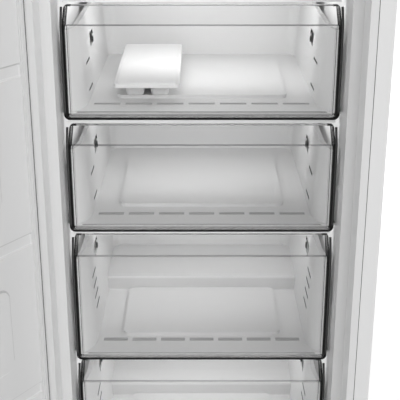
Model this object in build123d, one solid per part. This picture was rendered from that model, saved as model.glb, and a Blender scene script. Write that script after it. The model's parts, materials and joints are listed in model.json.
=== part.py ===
from build123d import *
import math
import os

# Upright freezer, millimetres. +Z is up, -Y is the front, X = 0 is the middle of the cabinet.
# The origin is on the floor, under the middle of the cabinet's footprint.

# ---- Cabinet ----
cabinet_width = 595.0
cabinet_depth = 655.0
base_height = 25.0  # underside of the cabinet above the floor
steel_sheet = 0.8
edge_bend = 3.0  # outer radius of the folded front edges
side_insulation = 57.5  # outside of the cabinet to the inside of the liner
top_insulation = 52.0
rear_insulation = 57.0
liner_wall = 2.0
liner_floor_z = 112.0
liner_radius = 12.0
part_gap = 0.3  # between fixed pieces that rest on one another
fit_gap = 0.2  # round a piece let into another
side_play = 0.3  # between a moving piece and what carries it
turn_clearance = 0.05  # round pins, shafts and axles

# ---- Mouth of the cabinet ----
mouth_step = 18.0  # how much wider the mouth is than the compartment, each side
mouth_depth = 60.0
mouth_radius = 22.0
seat_flange = 12.5  # white flange round the mouth, where the liner meets the steel
seam_gap = 1.0  # open seam between that flange and the steel

# ---- Compressor bay ----
pan_sheet = 1.5
bay_depth = 218.0
bay_top_z = 300.0
bay_insulation = 46.0

# ---- Drawers, counted from the top ----
small_drawers = 4
large_drawers = 3
small_front_height = 186.5
large_front_height = 241.0
small_gap = 21.2  # from one front's top to the next front's bottom edge
large_gap = 21.0
first_drawer_lift = 10.0  # lowest front's bottom edge above the liner floor
drawer_setback = 107.0  # cabinet front to the drawers' front plane
drawer_side_gap = 9.6
front_wall = 3.0
front_flange = 18.0
front_corner_radius = 6.0
small_band_height = 28.5
large_band_height = 31.0
band_setback = 33.0
band_lip = 5.0
band_edge = 8.0  # height of the band's rear edge
flange_drop = 14.0  # from the crease down to where the flange reaches its full depth

# ---- Tubs ----
tub_wall = 2.5
tub_floor_lift = 10.0  # inner floor above the front's bottom edge
tub_floor_margin = 42.0  # liner wall to the tub's inner floor edge
tub_draft = 0.085  # how far a wall leans out for each millimetre up
tub_rear_taper = 3.4
tub_rim_drop = 36.5  # tub rim below the front's top
tub_rim_lip = 5.0
tub_rear_gap = 5.5  # tub rim to the duct cover
tub_corner_radius = 22.0
flare_length = 54.0
slot_length = 46.0
slot_width = 4.5
slot_pitch = 55.0
slot_setback = 54.0
pad_margin = 46.5  # floor edge to the raised pad
pad_height = 6.0
small_pad_front = 88.0
large_pad_front = 69.0
pad_rear_margin = 70.0
pad_radius = 14.0
pad_radius_share = 0.45  # most of a short pad's length that its corners may take
step_length = 163.0  # raised rear part of the floor of a large tub
step_height = 31.0
grip_length = 50.0
grip_height = 24.0
grip_margin = 4.0  # least distance of a grip from the tub's rounded rear corner
vent_length = 49.0
vent_height = 3.5
small_grip_at = (198.0, 96.0)
large_grip_at = (170.0, 154.0)
small_vents_at = ((114.0, 72.0), (112.0, 25.0))
large_vents_at = ((105.0, 63.0), (105.0, 84.5), (105.0, 106.0), (105.0, 127.5))
lowest_rear_gap = 9.0

# ---- Shelves ----
glass_thickness = 4.0
glass_side_gap = 1.5
rib_reach = 9.0
rib_height = 3.0
trim_setback = 20.0  # drawers' front plane to the trim's face
trim_wall = 3.0
trim_height = 22.0
trim_ledge = 14.0
trim_seam_margin = 45.0
trim_seam_width = 1.2
trim_seam_depth = 0.8

# ---- Air duct, evaporator and fan ----
duct_depth = 50.0
duct_wall = 3.0
duct_vents = 5
duct_vent_width = 60.0
duct_vent_height = 8.0
duct_vent_gap = 16.0
duct_vent_rise = 12.0  # above the drawer's rim
duct_drain_margin = 6.0
evaporator_half = 165.0
evaporator_bottom = 80.0  # above the bay's liner step
evaporator_passes = 4
evaporator_pitch = 46.0
evaporator_tube = 4.0
fin_count = 11
fin_thickness = 0.8
fin_height = 190.0
fin_air_gap = 7.0  # fins to the duct cover
heater_radius = 4.0
heater_drop = 26.0
heater_overhang = 15.0
heater_tab = (3.0, 12.0)
fan_height = 400.0  # above the bay's liner step
fan_radius = 48.0
fan_blades = 7
fan_hub_radius = 14.0
fan_depth = 14.0
fan_motor_gap = 1.5
blade_wall = 1.6
blade_sections = ((0.27, 50.0, 13.0), (0.65, 36.0, 19.0), (1.0, 26.0, 24.0))  # share of radius, pitch, chord
shroud_gap = 3.0
shroud_wall = 3.0
shroud_rear_gap = 6.0
strut_count = 3
strut_width = 8.0
strut_depth = 5.0
strut_bite = 2.0  # how far a strut reaches into the motor
motor_radius = 17.0
motor_length = 20.0
fan_shaft_radius = 2.0
fan_shaft_tip = 4.0

# ---- Ceiling housing ----
housing_height = 76.0
housing_gap = 6.4
housing_front = 72.0
housing_length = 300.0
housing_wall = 2.5
housing_front_slope = (34.0, 22.0)  # depth and height of the sloped corner
housing_rear_slope = (60.0, 30.0)
slope_shift = 1.0  # keeps the wall even along the slopes
lens_width = 180.0
lens_height = 32.0
lens_wall = 2.0
lens_radius = 6.0
lens_proud = 1.5
lens_rim = 4.0
knob_radius = 17.0
knob_height = 11.0
knob_chamfer = 1.2
knob_bar_width = 6.0
knob_bar_height = 5.0
knob_bar_inset = 2.0
knob_spindle_radius = 4.0
knob_spindle_length = 14.0
knob_collar = 3.0
knob_x = 160.0
button_x = -160.0
button_width = 24.0
button_height = 14.0
button_radius = 3.0
button_edge = 0.8
button_stop = 3.0
button_travel = 2.5
button_pressed_proud = 1.5
button_proud = button_pressed_proud + button_travel
controls_drop = 46.0  # controls above the housing's underside

# ---- Door ----
door_open_angle = 125.0
door_thickness = 60.0
gasket_thickness = 5.0
gasket_width = 6.0
gasket_edge = 7.0  # door's side to the gasket
gasket_foot_share = 0.5
bead_inset = 1.4
door_bottom_z = 56.0
door_top_gap = 4.0
cap_height = 10.0
door_edge_radius = 6.0
hinge_edge = 10.0  # door's side to the hinge axis
hinge_front = 21.0  # cabinet front to the hinge axis
groove_width = 21.5
groove_depth = 3.0
groove_slope = 2.0
groove_pitch = 281.0
groove_first_z = 392.0
groove_edge = 14.0
panel_height = 150.0
panel_edge = 74.0
panel_rise = 3.0
panel_slope = 2.0
panel_radius = 18.0
handle_length = 320.0
handle_bottom_z = 900.0
handle_width = 30.0
handle_depth = 28.0
handle_wall = 2.5
handle_forward = 4.0  # pocket's middle in front of the door's middle
hook_width = 9.0
hook_depth = 5.5
hook_radius = 2.4

# ---- Hinges ----
hinge_plate = 3.0
top_arm_half = 6.8
top_plate_reach = (46.0, 62.0)  # across from the axis, back from the cabinet's front
top_plate_start = 4.0
screw_head_radius = 4.5
screw_head_height = 3.0
screws_at = ((8.0, 22.0), (34.0, 22.0), (34.0, 48.0))
top_pin_radius = 4.0
bottom_pin_radius = 5.0
bottom_arm_half = 9.5
bottom_plate_reach = 26.0
bottom_notch = 9.0
bottom_foot_gap = 2.0
bush_wall = 2.5
bush_collar = 2.0
bush_depth = 20.0
bush_gap = 0.1
pin_length = 17.0
pin_end_room = 1.0
hinge_drop = 4.0  # bottom hinge plate below the door
cover_height = 13.0
cover_wall = 2.0
cover_reach = (54.0, 72.0)
cover_front = 18.0
cover_corner = 10.0
cover_edge = 4.0
side_inset = 1.0

# ---- Feet and rollers ----
foot_x = 245.0
foot_setback = 62.0
foot_radius = 20.0
foot_pad_height = 9.0
foot_chamfer = 2.5
stud_radius = 5.0
boss_radius = 9.0
boss_length = 13.0
roller_radius = 12.0
roller_width = 17.0
roller_x = 262.0
roller_rear = 45.0
roller_chamfer = 1.0
axle_radius = 4.0
ear_wall = 2.0
ear_half = 9.0
ear_drop = 6.0

# ---- Machinery in the bay ----
tray_lip = 12.0
tray_front_gap = 0.5
tray_rear_gap = 6.0
tray_side_gap = 0.1
compressor_radius = 80.0
compressor_height = 150.0
compressor_wall = 6.0
compressor_bend = 46.0  # radius of the domed top and bottom
compressor_x = 70.0
compressor_foot_x = 96.0
compressor_foot_y = 58.0
compressor_plate = 3.0
plate_margin = 15.0
plate_corner = 12.0
weld_share = 0.52  # height of the weld on the can
weld_height = 4.0
weld_proud = 3.0
terminal_box = (34.0, 54.0, 62.0)
terminal_box_out = 8.0
terminal_box_share = 0.42
terminal_box_edge = 6.0
grommet_radius = 10.0
grommet_height = 12.0
drip_length = 214.0  # at its foot
drip_width = 124.0
drip_height = 30.0
drip_flare = 12.0  # degrees
drip_corner = 14.0
drip_back = 8.0  # behind the compressor's axis
drip_wall = 2.0
drain_radius = 9.0
drain_wall = 2.0
drain_collar = 4.0
drain_collar_height = 1.5
drain_dip = 8.0  # how deep the tube hangs in the tray
drain_share = 0.25
pipe_radius = 3.2
pipe_bend = 20.0
pipe_out = 2.0
pipe_share = 0.5
pipe_runs = ((-22.0, 0.0, 42.0), (22.0, 12.0, 66.0))  # along, up and out from the compressor
drier_radius = 9.0
drier_length = 110.0
drier_stem = 3.0
drier_neck = (22.0, 34.0)
drier_tail = (12.0, 24.0)
drier_at = (-130.0, 60.0)  # across, and in front of the rear
coil_radius = 2.4
coil_pitch = 180.0
coil_half = 215.0
coil_margin = 10.0
coil_pocket_depth = 6.0
inlet_width = 48.0
inlet_height = 40.0
inlet_depth = 34.0
inlet_at = (-220.0, 44.0)
inlet_recess = (26.0, 19.0, 18.0)  # width, height, depth
inlet_recess_rise = 12.0
inlet_recess_corner = 3.0
inlet_pin = (2.0, 5.0, 14.0)
inlet_pins_at = ((-7.0, 17.5), (0.0, 22.5), (7.0, 17.5))
module_width = 120.0
module_height = 90.0
module_depth = 38.0
module_x = -200.0
module_gap = 14.0
module_corner = 5.0

# ---- Base grille ----
grille_height = 34.0
grille_depth = 12.0
grille_bottom_z = 16.0
grille_wall = 2.0
grille_toe = 3.0  # how far the face leans back at the bottom
grille_nose = 2.0
grille_bend_share = 0.6
grille_slots = 9
grille_slot_margin = 10.0
grille_slot_length = 40.0
grille_slot_height = 4.0
grille_slot_shares = (0.35, 0.6)

# ---- Ice tray ----
tray_drawer = 3
tray_width = 108.0
tray_height = 28.0
tray_from_wall = 45.0
tray_from_front = 51.0
tray_from_rear = 68.0
tray_wall = 1.6
tray_corner = 6.0
row_width = 40.7
row_gap = 3.5
row_margin = 27.0  # rim's front and rear edge to the wells
row_corner = 12.0
row_edge = 5.0  # rounding along the bottom
wells_per_row = 6
well_wall = 2.0
well_draft = 11.0  # degrees
lid_overhang = 3.0
lid_wall = 1.6
lid_skirt = 5.0
lid_corner = 8.0
lid_edge = 1.2
lid_band = 5.0  # flat edge round the raised panel
lid_rise = 1.4

# ---- Derived levels and planes ----
front_y = -cabinet_depth / 2
rear_y = cabinet_depth / 2
half_width = cabinet_width / 2
inner_half = half_width - side_insulation
liner_rear_y = rear_y - rear_insulation
bay_y = rear_y - bay_depth
step_y = bay_y - bay_insulation  # front of the liner's step over the compressor
step_z = bay_top_z + bay_insulation
small_pitch = small_front_height + small_gap
large_pitch = large_front_height + large_gap
drawer_count = small_drawers + large_drawers
drawer_plane = front_y + drawer_setback
duct_front_y = liner_rear_y - duct_depth
duct_middle_y = liner_rear_y - (duct_depth - duct_wall) / 2
mouth_half = inner_half + mouth_step
seat_half = mouth_half + seat_flange
front_half = inner_half - drawer_side_gap
floor_half = inner_half - tub_floor_margin
foam_front_y = front_y + edge_bend
inside_half = half_width - steel_sheet


def drawer_is_large(number):
    return number > small_drawers


def front_height(number):
    return large_front_height if drawer_is_large(number) else small_front_height


def drawer_bottom(number):
    """Height of the bottom edge of a drawer's front; drawer 1 is the topmost."""
    lowest = liner_floor_z + first_drawer_lift
    if drawer_is_large(number):
        return lowest + (drawer_count - number) * large_pitch
    return lowest + large_drawers * large_pitch + (small_drawers - number) * small_pitch


housing_z = drawer_bottom(1) + small_front_height + housing_gap
ceiling_z = housing_z + housing_height
cabinet_top = ceiling_z + top_insulation
mouth_bottom = liner_floor_z - mouth_step
mouth_top = ceiling_z + mouth_step
seat_bottom = mouth_bottom - seat_flange
seat_top = mouth_top + seat_flange
housing_face_y = front_y + housing_front
controls_z = housing_z + controls_drop
door_top_z = cabinet_top - door_top_gap
door_inner_y = front_y - gasket_thickness - part_gap
door_front_y = door_inner_y - door_thickness
handle_middle_y = (door_front_y + door_inner_y) / 2 - handle_forward
hinge_x = -half_width + hinge_edge
hinge_y = front_y - hinge_front
bottom_hinge_z = door_bottom_z - hinge_drop
pan_top_z = base_height + pan_sheet
tray_floor_z = pan_top_z + pan_sheet
roller_y = rear_y - roller_rear
compressor_y = bay_y + bay_depth / 2
compressor_z = tray_floor_z + grommet_height
drip_z = compressor_z + compressor_height + part_gap
drain_x = compressor_x - drip_length * drain_share
drain_y = liner_rear_y - duct_depth / 2
fan_z = step_z + fan_height
fan_motor_y = liner_rear_y - part_gap - motor_length  # front of the motor
fan_y = fan_motor_y - fan_motor_gap - fan_depth / 2
tub_under = tub_floor_lift - tub_wall
tub_depth = duct_front_y - tub_rear_gap - tub_rim_lip - tub_wall - drawer_plane
lowest_tub_depth = step_y - lowest_rear_gap - tub_rim_lip - tub_wall - drawer_plane
step_front = tub_depth - step_length
tray_length = tub_depth - tray_from_front - tray_from_rear


# ---- Helpers ----
def block(x0, x1, y0, y1, z0, z1):
    """A box between two corners."""
    middle = Pos((x0 + x1) / 2, (y0 + y1) / 2, (z0 + z1) / 2)
    return middle * Box(x1 - x0, y1 - y0, z1 - z0)


def mid_block(x, width, y0, y1, z, height):
    """A box about a middle line that runs from y0 back to y1."""
    return block(x - width / 2, x + width / 2, y0, y1, z - height / 2, z + height / 2)


def upright(radius, x, y, z0, z1):
    """A vertical cylinder."""
    return Pos(x, y, (z0 + z1) / 2) * Cylinder(radius, z1 - z0)


def along_x(radius, x0, x1, y, z):
    return Pos((x0 + x1) / 2, y, z) * Rot(0, 90, 0) * Cylinder(radius, x1 - x0)


def along_y(radius, x, y0, y1, z):
    return Pos(x, (y0 + y1) / 2, z) * Rot(90, 0, 0) * Cylinder(radius, y1 - y0)


def side_profile(points, x0, x1):
    """A closed outline of (y, z) points, carried from x0 to x1."""
    outline = Plane.YZ.offset(x0) * make_face(Polyline(*points, close=True))
    return extrude(outline, x1 - x0)


def rounded_front(x0, x1, z0, z1, radius, y0, y1):
    """A plate across the front with rounded corners, from y0 back to y1."""
    sketch = RectangleRounded(x1 - x0, z1 - z0, radius)
    plane = Plane((((x0 + x1) / 2), y0, (z0 + z1) / 2), x_dir=(1, 0, 0), z_dir=(0, -1, 0))
    return extrude(plane * sketch, -(y1 - y0))


def bent_edges(solid, radius, y):
    """Round the upright edges that lie on one front plane."""
    edges = [e for e in solid.edges().filter_by(Axis.Z) if abs(e.center().Y - y) < 0.01]
    return fillet(edges, radius)


def tube(points, bend, radius):
    """A round bar along straight runs joined by bends."""
    path = FilletPolyline(*points, radius=bend)
    return sweep(Plane(origin=path @ 0, z_dir=path % 0) * Circle(radius), path=path)


def serpentine(reach, y, low, pitch, passes, radius):
    """A tube that runs to and fro across the width and rises by one pitch a pass."""
    points = []
    for n in range(passes):
        side = -1 if n % 2 == 0 else 1
        points.append((side * reach, y, low + n * pitch))
        points.append((-side * reach, y, low + n * pitch))
    return tube(points, pitch / 2 - 0.01, radius)


# ---- Cabinet ----
def compartment(grow):
    """The room inside the liner, grown outwards by a wall."""
    half = inner_half + grow
    room = block(-half, half, front_y + mouth_depth - liner_radius, liner_rear_y + grow,
                 liner_floor_z - grow, ceiling_z + grow)
    room = fillet(room.edges(), liner_radius + grow)
    wide = mouth_half + grow
    mouth = rounded_front(-wide, wide, mouth_bottom - grow, mouth_top + grow, mouth_radius + grow,
                          front_y - 1, front_y + mouth_depth + grow)
    hump = block(-half - 1, half + 1, step_y + grow, rear_y, 0, step_z - grow)
    return room + mouth - hump


def shelf_z(number):
    """Top of the glass that carries a drawer."""
    return drawer_bottom(number) + tub_under - part_gap


def shelf_ribs():
    """Ledges on the liner's side walls that carry the glass shelves, and two rails on its floor."""
    ribs = Part()
    rear = duct_front_y - glass_side_gap
    for number in range(1, drawer_count):
        top = shelf_z(number) - glass_thickness
        for side in (-1, 1):
            near, far = sorted((side * (inner_half - rib_reach), side * (inner_half + liner_wall / 2)))
            ribs += block(near, far, drawer_plane + trim_setback + trim_wall, rear, top - rib_height, top)
    for side in (-1, 1):
        middle = side * floor_half / 2
        ribs += block(middle - rib_reach, middle + rib_reach, drawer_plane + trim_setback, step_y,
                      liner_floor_z - liner_wall / 2, shelf_z(drawer_count))
    return ribs


def inner_liner():
    seat = rounded_front(-seat_half, seat_half, seat_bottom, seat_top, mouth_radius, front_y, front_y + liner_wall)
    skin = compartment(liner_wall) & block(-half_width, half_width, front_y, rear_y, 0, cabinet_top)
    return skin + seat - compartment(0) + shelf_ribs() - drain_bore()


def drain_bore():
    """Room for the drain tube, through the liner's step and the insulation under it."""
    return upright(drain_radius + fit_gap, drain_x, drain_y, bay_top_z - 1, step_z + 1)


def cabinet_shell():
    outer = block(-half_width, half_width, front_y, rear_y, base_height, cabinet_top)
    outer = bent_edges(outer, edge_bend, front_y)
    inner = block(-inside_half, inside_half, front_y + steel_sheet, rear_y + 1, base_height - 1,
                  cabinet_top - steel_sheet)
    inner = bent_edges(inner, edge_bend - steel_sheet, front_y + steel_sheet)
    window_half = seat_half + seam_gap
    window = rounded_front(-window_half, window_half, base_height - 50, seat_top + seam_gap, mouth_radius,
                           front_y - 1, front_y + edge_bend)
    return outer - inner - window


def rear_panel():
    return block(-inside_half, inside_half, rear_y - steel_sheet, rear_y, bay_top_z + pan_sheet,
                 cabinet_top - steel_sheet)


def base_pan():
    """Bent pan under the insulation: front lip, floor, riser and roof of the bay, with the bay's cheeks."""
    back = rear_y - steel_sheet
    lip = block(-seat_half, seat_half, front_y, front_y + pan_sheet, base_height, seat_bottom - part_gap)
    toe = block(-seat_half, seat_half, front_y + pan_sheet, front_y + edge_bend, base_height, pan_top_z)
    bent = side_profile(
        [(front_y + edge_bend, base_height), (bay_y, base_height), (bay_y, bay_top_z), (back, bay_top_z),
         (back, bay_top_z + pan_sheet), (bay_y - pan_sheet, bay_top_z + pan_sheet),
         (bay_y - pan_sheet, pan_top_z), (front_y + edge_bend, pan_top_z)],
        -inside_half, inside_half)
    pan = lip + toe + bent
    foot_y = front_y + foot_setback
    for side in (-1, 1):
        near, far = sorted((side * (inside_half - pan_sheet), side * inside_half))
        pan += block(near, far, bay_y, back, base_height, bay_top_z)
        pan += upright(boss_radius, side * foot_x, foot_y, base_height - boss_length, base_height)
        pan -= upright(stud_radius + turn_clearance, side * foot_x, foot_y, base_height - boss_length - 1,
                       base_height)
    return pan - drain_bore()


def cabinet_foam():
    body = block(-inside_half, inside_half, foam_front_y, rear_y - steel_sheet, pan_top_z,
                 cabinet_top - steel_sheet)
    bay = block(-inside_half - 1, inside_half + 1, bay_y - pan_sheet, rear_y, 0, bay_top_z + pan_sheet)
    pocket_half = coil_half + coil_margin
    pocket = block(-pocket_half, pocket_half, rear_y - steel_sheet - coil_pocket_depth, rear_y, step_z,
                   ceiling_z)
    return body - compartment(liner_wall) - bay - pocket - drain_bore()


def condenser_coil():
    """Serpentine tube clipped behind the rear panel, in a pocket of the insulation."""
    low = step_z + coil_pitch / 2
    passes = int((ceiling_z - coil_pitch / 2 - low) // coil_pitch)
    y = rear_y - steel_sheet - coil_radius - part_gap
    return serpentine(coil_half, y, low, coil_pitch, passes, coil_radius)


def glass_shelves():
    """Toughened glass under every drawer but the lowest."""
    sheets = []
    half = inner_half - glass_side_gap
    near = drawer_plane + trim_setback + trim_wall + fit_gap
    for number in range(1, drawer_count):
        top = shelf_z(number)
        sheets.append(block(-half, half, near, duct_front_y - glass_side_gap, top - glass_thickness, top))
    return Compound(children=sheets)


def shelf_trims():
    """White profile along each shelf's front edge, between the liner's ribs, with a ledge under the glass."""
    trims = []
    half = inner_half - rib_reach - fit_gap
    y = drawer_plane + trim_setback
    inner_y = y + trim_wall
    for number in range(1, drawer_count):
        top = shelf_z(number) - part_gap
        under = shelf_z(number) - glass_thickness
        low = shelf_z(number) - trim_height
        profile = side_profile(
            [(y, top), (y, low), (inner_y, low), (inner_y, under - trim_wall),
             (y + trim_ledge, under - trim_wall), (y + trim_ledge, under), (inner_y, under), (inner_y, top)],
            -half, half)
        for side in (-1, 1):
            seam_x = side * (inner_half - trim_seam_margin)
            profile -= mid_block(seam_x, trim_seam_width, y - 1, y + trim_seam_depth, low, 2 * trim_height + 1)
        trims.append(profile)
    return Compound(children=trims)


# ---- Air duct ----
def duct_cover():
    """Moulded cover over the evaporator and the fan, with a row of air vents above every drawer."""
    half = inner_half - liner_radius
    low, high = step_z, ceiling_z - liner_radius
    cover = block(-half, half, duct_front_y, liner_rear_y, low, high)
    cover -= block(-half + duct_wall, half - duct_wall, duct_front_y + duct_wall, liner_rear_y + 1,
                   low + duct_wall, high - duct_wall)
    for number in range(1, drawer_count):
        z = drawer_bottom(number) + front_height(number) - tub_rim_drop + duct_vent_rise + duct_vent_height / 2
        for n in range(duct_vents):
            x = (n - (duct_vents - 1) / 2) * (duct_vent_width + duct_vent_gap)
            cover -= mid_block(x, duct_vent_width, duct_front_y - 1, duct_front_y + duct_wall + 1, z,
                               duct_vent_height)
    return cover - upright(drain_radius + duct_drain_margin, drain_x, drain_y, low - 1, low + duct_wall + 1)


def evaporator():
    """Finned serpentine coil behind the duct cover, fins seated against the liner's rear wall."""
    low = step_z + evaporator_bottom
    coil = serpentine(evaporator_half + evaporator_pitch / 2, duct_middle_y, low, evaporator_pitch,
                      evaporator_passes, evaporator_tube)
    middle_z = low + (evaporator_passes - 1) * evaporator_pitch / 2
    fin_rear = liner_rear_y - part_gap
    fin_front = duct_front_y + duct_wall + fin_air_gap - part_gap
    for n in range(fin_count):
        x = -evaporator_half + 2 * evaporator_half * n / (fin_count - 1)
        coil += mid_block(x, fin_thickness, fin_front, fin_rear, middle_z, fin_height)
    return coil


def defrost_heater():
    """Sheathed rod under the coil, hung from the outer fins by two tabs."""
    low = step_z + evaporator_bottom + (evaporator_passes - 1) * evaporator_pitch / 2 - fin_height / 2
    reach = evaporator_half + heater_overhang
    rod = along_x(heater_radius, -reach, reach, duct_middle_y, low - heater_drop)
    tab_width, tab_depth = heater_tab
    for side in (-1, 1):
        x = side * evaporator_half
        rod += block(x - tab_width / 2, x + tab_width / 2, duct_middle_y - tab_depth / 2,
                     duct_middle_y + tab_depth / 2, low - heater_drop, low - part_gap)
    return rod


def fan_motor():
    """Shroud ring, three struts, motor can and its shaft."""
    ring_front, ring_rear = duct_front_y + duct_wall + part_gap, liner_rear_y - shroud_rear_gap
    inner = fan_radius + shroud_gap
    ring = along_y(inner + shroud_wall, 0, ring_front, ring_rear, fan_z)
    ring -= along_y(inner, 0, ring_front - 1, ring_rear + 1, fan_z)
    for n in range(strut_count):
        strut = block(motor_radius - strut_bite, inner + 1, fan_motor_y, fan_motor_y + strut_depth,
                      -strut_width / 2, strut_width / 2)
        ring += Pos(0, 0, fan_z) * Rot(0, 90 + 360 * n / strut_count, 0) * strut
    ring += along_y(motor_radius, 0, fan_motor_y, liner_rear_y - part_gap, fan_z)
    return ring + along_y(fan_shaft_radius, 0, fan_motor_y - fan_depth - fan_shaft_tip, fan_motor_y, fan_z)


def fan_blade(angle):
    """A twisted blade, steep at the hub and flatter at the tip."""
    sections = []
    for share, pitch, chord in blade_sections:
        lean = math.radians(pitch)
        plane = Plane(origin=(share * fan_radius, 0, 0), x_dir=(0, math.sin(lean), math.cos(lean)),
                      z_dir=(1, 0, 0))
        sections.append(plane * Rectangle(chord, blade_wall))
    return Rot(0, angle, 0) * loft(sections, ruled=True)


def evaporator_fan():
    rotor = along_y(fan_hub_radius, 0, -fan_depth / 2, fan_depth / 2, 0)
    for n in range(fan_blades):
        rotor += fan_blade(360 * n / fan_blades)
    rotor -= along_y(fan_shaft_radius + turn_clearance, 0, -fan_depth, fan_depth, 0)
    return Pos(0, fan_y, fan_z) * rotor


# ---- Ceiling housing ----
def housing_outline(inset, shift, top):
    """Side outline of the housing with its sloped lower corners, drawn in by a wall."""
    y0, y1 = housing_face_y, housing_face_y + housing_length
    front_depth, front_rise = housing_front_slope
    rear_depth, rear_rise = housing_rear_slope
    return [(y0 + inset, housing_z + front_rise + shift), (y0 + inset, top), (y1 - inset, top),
            (y1 - inset, housing_z + rear_rise + shift), (y1 - rear_depth - shift, housing_z + inset),
            (y0 + front_depth + shift, housing_z + inset)]


def ceiling_housing():
    """Hollow housing for the light and the controls, open towards the liner's ceiling."""
    half = inner_half - liner_radius
    shell = side_profile(housing_outline(0, 0, ceiling_z), -half, half)
    shell -= side_profile(housing_outline(housing_wall, slope_shift, ceiling_z + 1), -half + housing_wall,
                          half - housing_wall)
    front, back = housing_face_y - 1, housing_face_y + housing_wall + 1
    shell -= face_window(0, lens_width, lens_height, lens_radius, front, back)
    shell -= along_y(knob_spindle_radius + turn_clearance, knob_x, front, back, controls_z)
    return shell - face_window(button_x, button_width + 2 * fit_gap, button_height + 2 * fit_gap, button_radius,
                               front, back)


def face_window(x, width, height, radius, y0, y1):
    """A rounded plate about a point on the line of the controls."""
    return rounded_front(x - width / 2, x + width / 2, controls_z - height / 2, controls_z + height / 2, radius,
                         y0, y1)


def light_lens():
    """Diffuser that stands a little proud of the housing and is held by a rim behind its face."""
    width, height = lens_width - 2 * fit_gap, lens_height - 2 * fit_gap
    front, inner_y = housing_face_y - lens_proud, housing_face_y + housing_wall
    lens = face_window(0, width, height, lens_radius - fit_gap, front, inner_y)
    lens += face_window(0, width + 2 * lens_rim, height + 2 * lens_rim, lens_radius + lens_wall, inner_y,
                        inner_y + lens_wall)
    return lens - face_window(0, width - 2 * lens_wall, height - 2 * lens_wall, lens_radius - lens_wall,
                              front + lens_wall, inner_y + lens_wall + 1)


def temperature_knob():
    """Round knob with a grip bar, on a spindle through the housing's face."""
    knob = along_y(knob_radius, 0, -knob_height, -side_play, 0)
    knob = chamfer(knob.edges().group_by(Axis.Y)[0], knob_chamfer)
    bar_half = knob_radius - knob_bar_inset
    bar = mid_block(0, knob_bar_width, -knob_height - knob_bar_height, -knob_height, 0, 2 * bar_half)
    knob += fillet(bar.edges().filter_by(Axis.Y), 0.4 * knob_bar_width)
    knob += along_y(knob_spindle_radius, 0, -side_play, knob_spindle_length, 0)
    knob += along_y(knob_spindle_radius + knob_collar, 0, housing_wall + side_play, knob_spindle_length, 0)
    return Pos(knob_x, housing_face_y, controls_z) * knob


def fast_freeze_button():
    """Rounded push button with a stop behind the housing's face."""
    half_w, half_h = button_width / 2, button_height / 2
    stop_y = housing_wall + side_play
    cap = rounded_front(-half_w, half_w, -half_h, half_h, button_radius - fit_gap, -button_proud, stop_y)
    cap = fillet(cap.edges().group_by(Axis.Y)[0], button_edge)
    cap += rounded_front(-half_w - button_stop, half_w + button_stop, -half_h - button_stop,
                         half_h + button_stop, button_radius, stop_y, stop_y + button_stop)
    return Pos(button_x, housing_face_y, controls_z) * cap


# ---- Door, drawn closed and then swung open ----
def swung(shape):
    """Turn a closed door piece about the hinge axis to the open rest pose."""
    return Pos(hinge_x, hinge_y, 0) * Rot(0, 0, -door_open_angle) * Pos(-hinge_x, -hinge_y, 0) * shape


def door_slab(inset, y1, z0, z1):
    """The door's block with rounded front edges, drawn in by a wall."""
    slab = block(-half_width + inset, half_width - inset, door_front_y + inset, y1, z0, z1)
    return bent_edges(slab, door_edge_radius - inset, door_front_y + inset)


def handle_pocket(grow, open_by):
    """The finger room in the door's opening edge, grown by a wall."""
    half = handle_width / 2 + grow
    return block(half_width - handle_depth - grow, half_width + open_by, handle_middle_y - half,
                 handle_middle_y + half, handle_bottom_z - grow, handle_bottom_z + handle_length + grow)


def handle_cup():
    """Moulded finger cup let into the opening edge, with a hooked front wall to pull on."""
    cup = handle_pocket(handle_wall, 0) - handle_pocket(0, 1)
    front = handle_middle_y - handle_width / 2 - part_gap
    hook = block(half_width - hook_width, half_width, front, front + hook_depth, handle_bottom_z,
                 handle_bottom_z + handle_length)
    return cup + fillet(hook.edges().filter_by(Axis.Z), hook_radius)


def door_skin():
    low, high = door_bottom_z + cap_height, door_top_z - cap_height
    skin = door_slab(0, door_inner_y, low, high) - door_slab(steel_sheet, door_inner_y + 1, low - 1, high + 1)
    return skin - handle_pocket(handle_wall, 1)


def groove_levels():
    """Heights of the door liner's channels, one pitch apart between the door's caps."""
    low = door_bottom_z + cap_height + groove_width
    high = door_top_z - cap_height - groove_width
    first = low + (groove_first_z - low) % groove_pitch
    return [first + n * groove_pitch for n in range(int((high - first) // groove_pitch) + 1)]


def groove_channels(grow):
    """Horizontal channels with sloped sides, pressed into the door liner."""
    channels = Part()
    half = half_width - groove_edge + grow
    for z in groove_levels():
        channel = mid_block(0, 2 * half, door_inner_y - groove_depth - grow, door_inner_y + 1, z,
                            groove_width + 2 * grow)
        channels += chamfer(channel.edges().group_by(Axis.Y)[0], groove_slope)
    return channels


def door_liner():
    """Inner face of the door: channels across it and a raised panel between every two of them."""
    low, high = door_bottom_z + cap_height, door_top_z - cap_height
    plate = block(-inside_half, inside_half, door_inner_y - liner_wall, door_inner_y, low, high)
    behind = block(-half_width, half_width, door_front_y, door_inner_y, 0, cabinet_top)
    plate = plate + (groove_channels(liner_wall) & behind) - groove_channels(0)
    levels = groove_levels()
    half = half_width - panel_edge
    for lower, upper in zip(levels, levels[1:]):
        middle = (lower + upper) / 2
        panel = rounded_front(-half, half, middle - panel_height / 2, middle + panel_height / 2, panel_radius,
                              door_inner_y - liner_wall / 2, door_inner_y + panel_rise)
        plate += chamfer(panel.edges().group_by(Axis.Y)[-1], panel_slope)
    return plate


def door_foam():
    low, high = door_bottom_z + cap_height, door_top_z - cap_height
    core = door_slab(steel_sheet, door_inner_y - liner_wall, low, high)
    return core - groove_channels(liner_wall) - handle_pocket(handle_wall, 1) - bush_bores()


def bush_radius(pin):
    return pin + turn_clearance + bush_wall


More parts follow.
